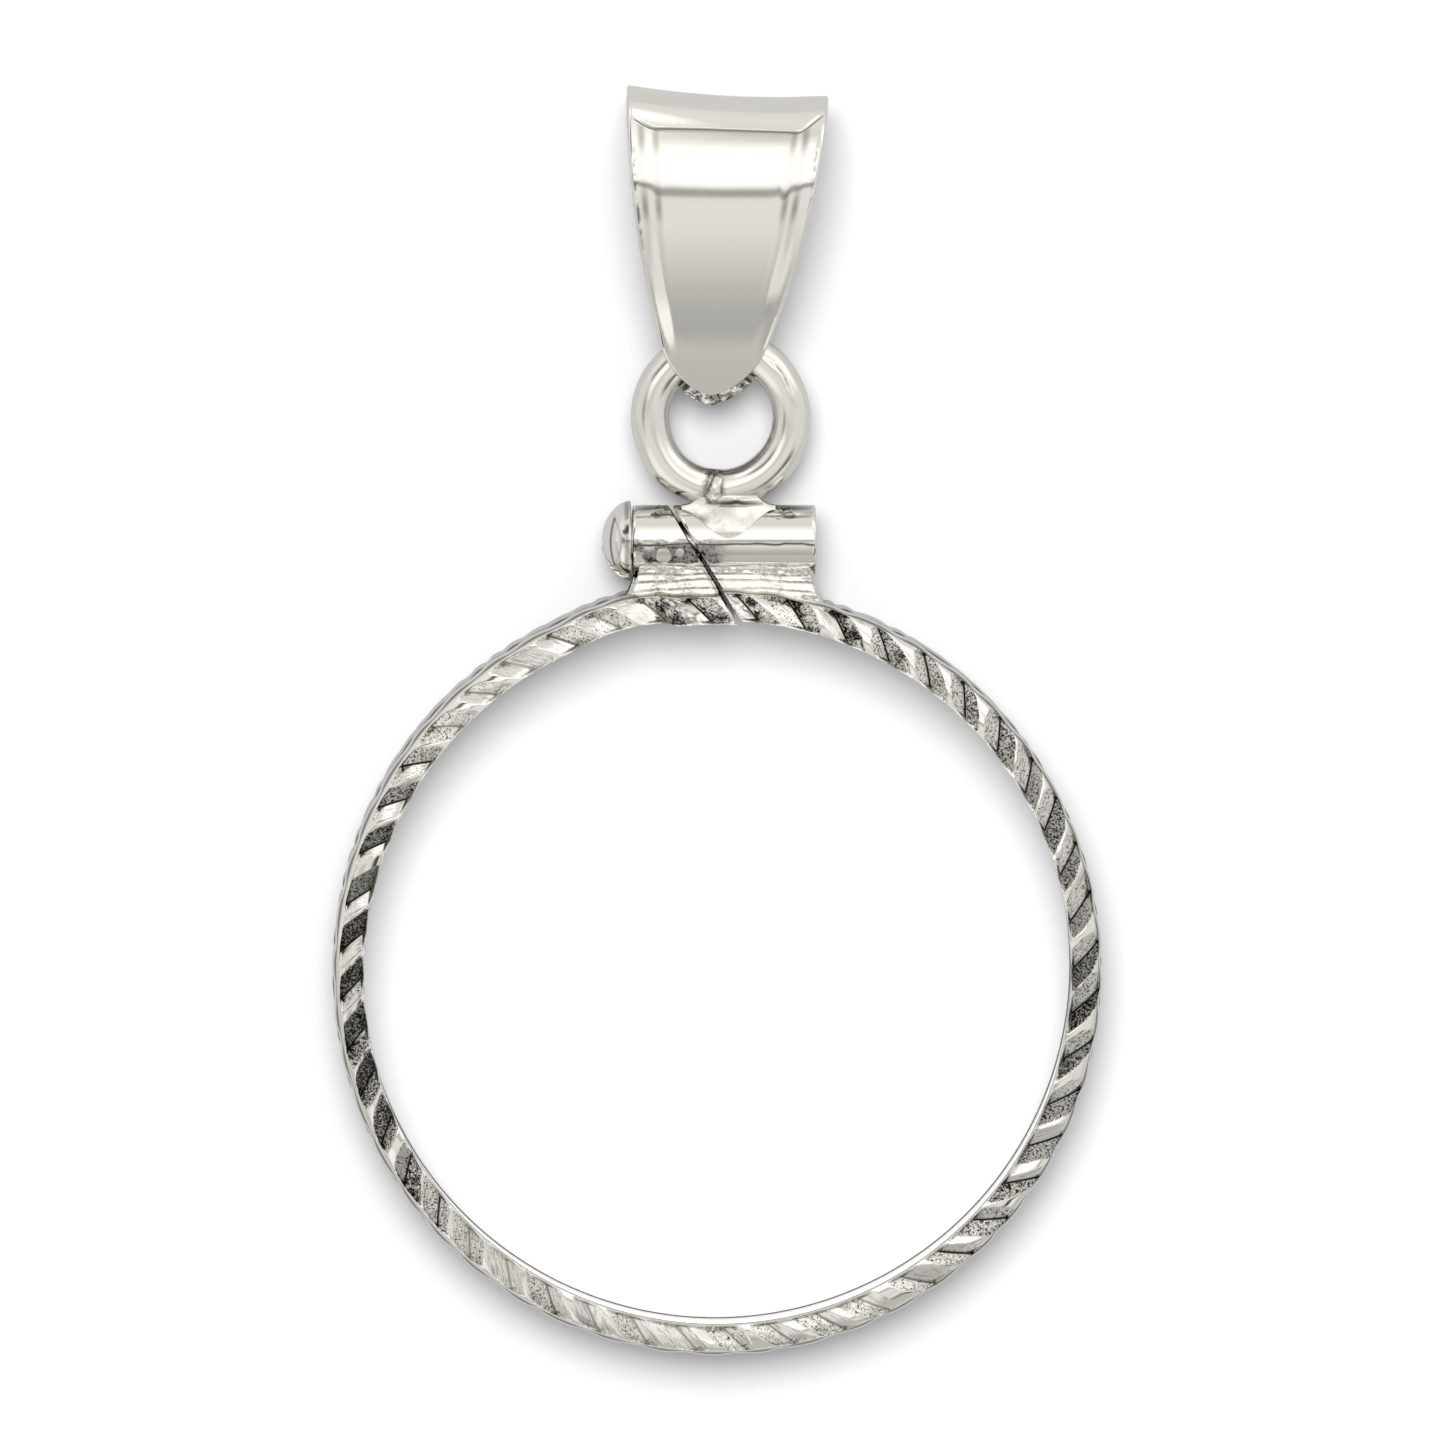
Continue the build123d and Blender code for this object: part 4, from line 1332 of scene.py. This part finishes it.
@dataclass
class Studio:
    """The table, the key light, the light tent and the camera.

    The strip is a list of angles from straight up towards +Y, each with its brightness. The key's
    energy is in watts, and the camera's clip distances are in metres.
    """

    camera_place: tuple = (-8.2, 36.9, 430.0)
    target: tuple = (0.15, 6.46, 0.0)
    lens: float = 412.0
    sensor: float = 36.0
    clip: tuple = (0.01, 10.0)
    table_half: float = 900.0
    key_place: tuple = (-60.0, 260.0, 860.0)
    key_size: float = 500.0
    key_energy: float = 9.0
    strip: tuple = (
        (-90, 0.55), (-56, 0.56), (-49, 0.60), (-44, 0.46), (-38, 0.49), (-32, 0.56), (-22, 0.74),
        (-16, 0.85), (-2.5, 0.86), (0, 0.40), (3, 0.40), (6, 1.10), (10, 1.35), (30, 1.32),
        (36, 1.22), (44, 1.04), (50, 0.92), (56, 0.78), (75, 0.86), (90, 0.80),
    )
    strip_top: float = 2.0
    cards: tuple = tuple(StudioCard(*sizes) for sizes in (
        (60, 0, 14, 40, 0.80), (-60, 0, 14, 34, 0.76), (-45, 3, 3, 12, 0.28), (40, -40, 8, 18, 0.05),
        (-40, 40, 9, 18, 0.16), (-57, 57, 8, 16, 0.92), (-40, -40, 10, 20, 1.05), (-25, -44, 7, 14, 1.10),
        (-57, -57, 10, 20, 1.05), (-36, -62, 9, 18, 0.94), (38, 38, 10, 22, 0.98), (57, -57, 5, 12, 0.95),
        (34, 60, 8, 16, 1.45), (-42, 63, 6, 12, 1.50), (60, 55, 9, 20, 1.40), (-22, -30, 7, 13, 0.85),
        (22, -30, 7, 13, 0.85),
    ))

    def tent(self) -> None:
        """The light tent, as the world's light by direction.

        A strip runs over the table from front to back: its brightness follows the angle from
        straight up towards +Y. Soft-edged cards lie over it, each mixed in by the angle between
        the direction and the card's middle.
        """
        world = bpy.data.worlds.new("light_tent")
        bpy.context.scene.world = world
        add = empty_tree(world)
        toward = add("TexCoord").outputs["Generated"]
        parts = add("SeparateXYZ", {0: toward}).outputs
        angle = add("Math", {0: parts["Y"], 1: parts["Z"]}, operation="ARCTAN2")
        place = add("MapRange", {"Value": angle, "From Min": -TAU / 4, "From Max": TAU / 4})
        ramp = add("FloatCurve", {"Value": place})
        curve = ramp.mapping.curves[0]
        ramp.mapping.use_clip = False
        stops = [((degrees + 90) / 180, level / self.strip_top) for degrees, level in self.strip]
        curve.points[0].location = stops[0]
        curve.points[1].location = stops[-1]
        for stop in stops[1:-1]:
            curve.points.new(*stop)
        for point in curve.points:
            point.handle_type = "VECTOR"
        ramp.mapping.update()
        light = add("Math", {0: ramp, 1: self.strip_top}, operation="MULTIPLY")
        for card in self.cards:
            sideways, onward = (math.tan(math.radians(angle)) for angle in (card.toward_x, card.toward_y))
            middle = Vector((sideways, onward, 1.0)).normalized()
            dot = add("VectorMath", {0: toward, 1: middle}, operation="DOT_PRODUCT").outputs["Value"]
            outer, inner = (math.cos(math.radians(angle)) for angle in (card.outer, card.inner))
            limits = {"Value": dot, "From Min": outer, "From Max": inner}
            mask = add("MapRange", limits, interpolation_type="SMOOTHSTEP")
            light = add("Mix", {0: mask, 2: light, 3: card.level}, data_type="FLOAT")
        shade = add("Background", {"Color": linear("#FFFFFF"), "Strength": light})
        add("OutputWorld", {"Surface": shade})

    def table(self, finishes: Finishes) -> None:
        """The table: a wide square at the height that the ring's back rests on."""
        corners = [(x * self.table_half * MM, y * self.table_half * MM, FLOOR_Z * MM) for x, y in SQUARE]
        mesh = bpy.data.meshes.new("table")
        mesh.from_pydata(corners, [], [(0, 1, 2, 3)])
        mesh.materials.append(finishes.paper)
        table = add_object("table", mesh)

    def key_light(self) -> None:
        """A large soft key high over the table's far side, which puts the shadows towards the viewer."""
        light = bpy.data.lights.new("key", "AREA")
        light.shape = "DISK"
        light.size = self.key_size * MM
        light.energy = self.key_energy
        key = add_object("key", light)
        key.location = [value * MM for value in self.key_place]
        key.rotation_euler = (-Vector(key.location)).to_track_quat("-Z", "Y").to_euler()
        key.visible_glossy = False

    def camera(self) -> None:
        """The camera, almost overhead, with +Y upright in the picture."""
        lens = bpy.data.cameras.new("camera")
        lens.lens = self.lens
        lens.sensor_width = self.sensor
        lens.clip_start, lens.clip_end = self.clip
        camera = add_object("camera", lens)
        place = Vector(self.camera_place) * MM
        back = (place - Vector(self.target) * MM).normalized()
        right = Vector((0.0, 1.0, 0.0)).cross(back).normalized()
        camera.location = place
        camera.rotation_euler = Matrix((right, back.cross(right), back)).transposed().to_euler()
        bpy.context.scene.camera = camera

    def build(self, finishes: Finishes) -> None:
        """Builds the studio."""
        self.tent()
        self.table(finishes)
        self.key_light()
        self.camera()
        bpy.context.scene.view_settings.view_transform = "Standard"
        LOG.info("studio built")


def main() -> None:
    """Builds every sub-assembly in order, then the studio."""
    logging.basicConfig(level=logging.INFO, format="%(name)s %(message)s")
    finishes = Finishes()
    for assembly in (ChannelRing(), ScrewBarrel(), WireRing(), StrapBail(), ClampScrew(), Studio()):
        assembly.build(finishes)


if __name__ == "__main__":
    main()
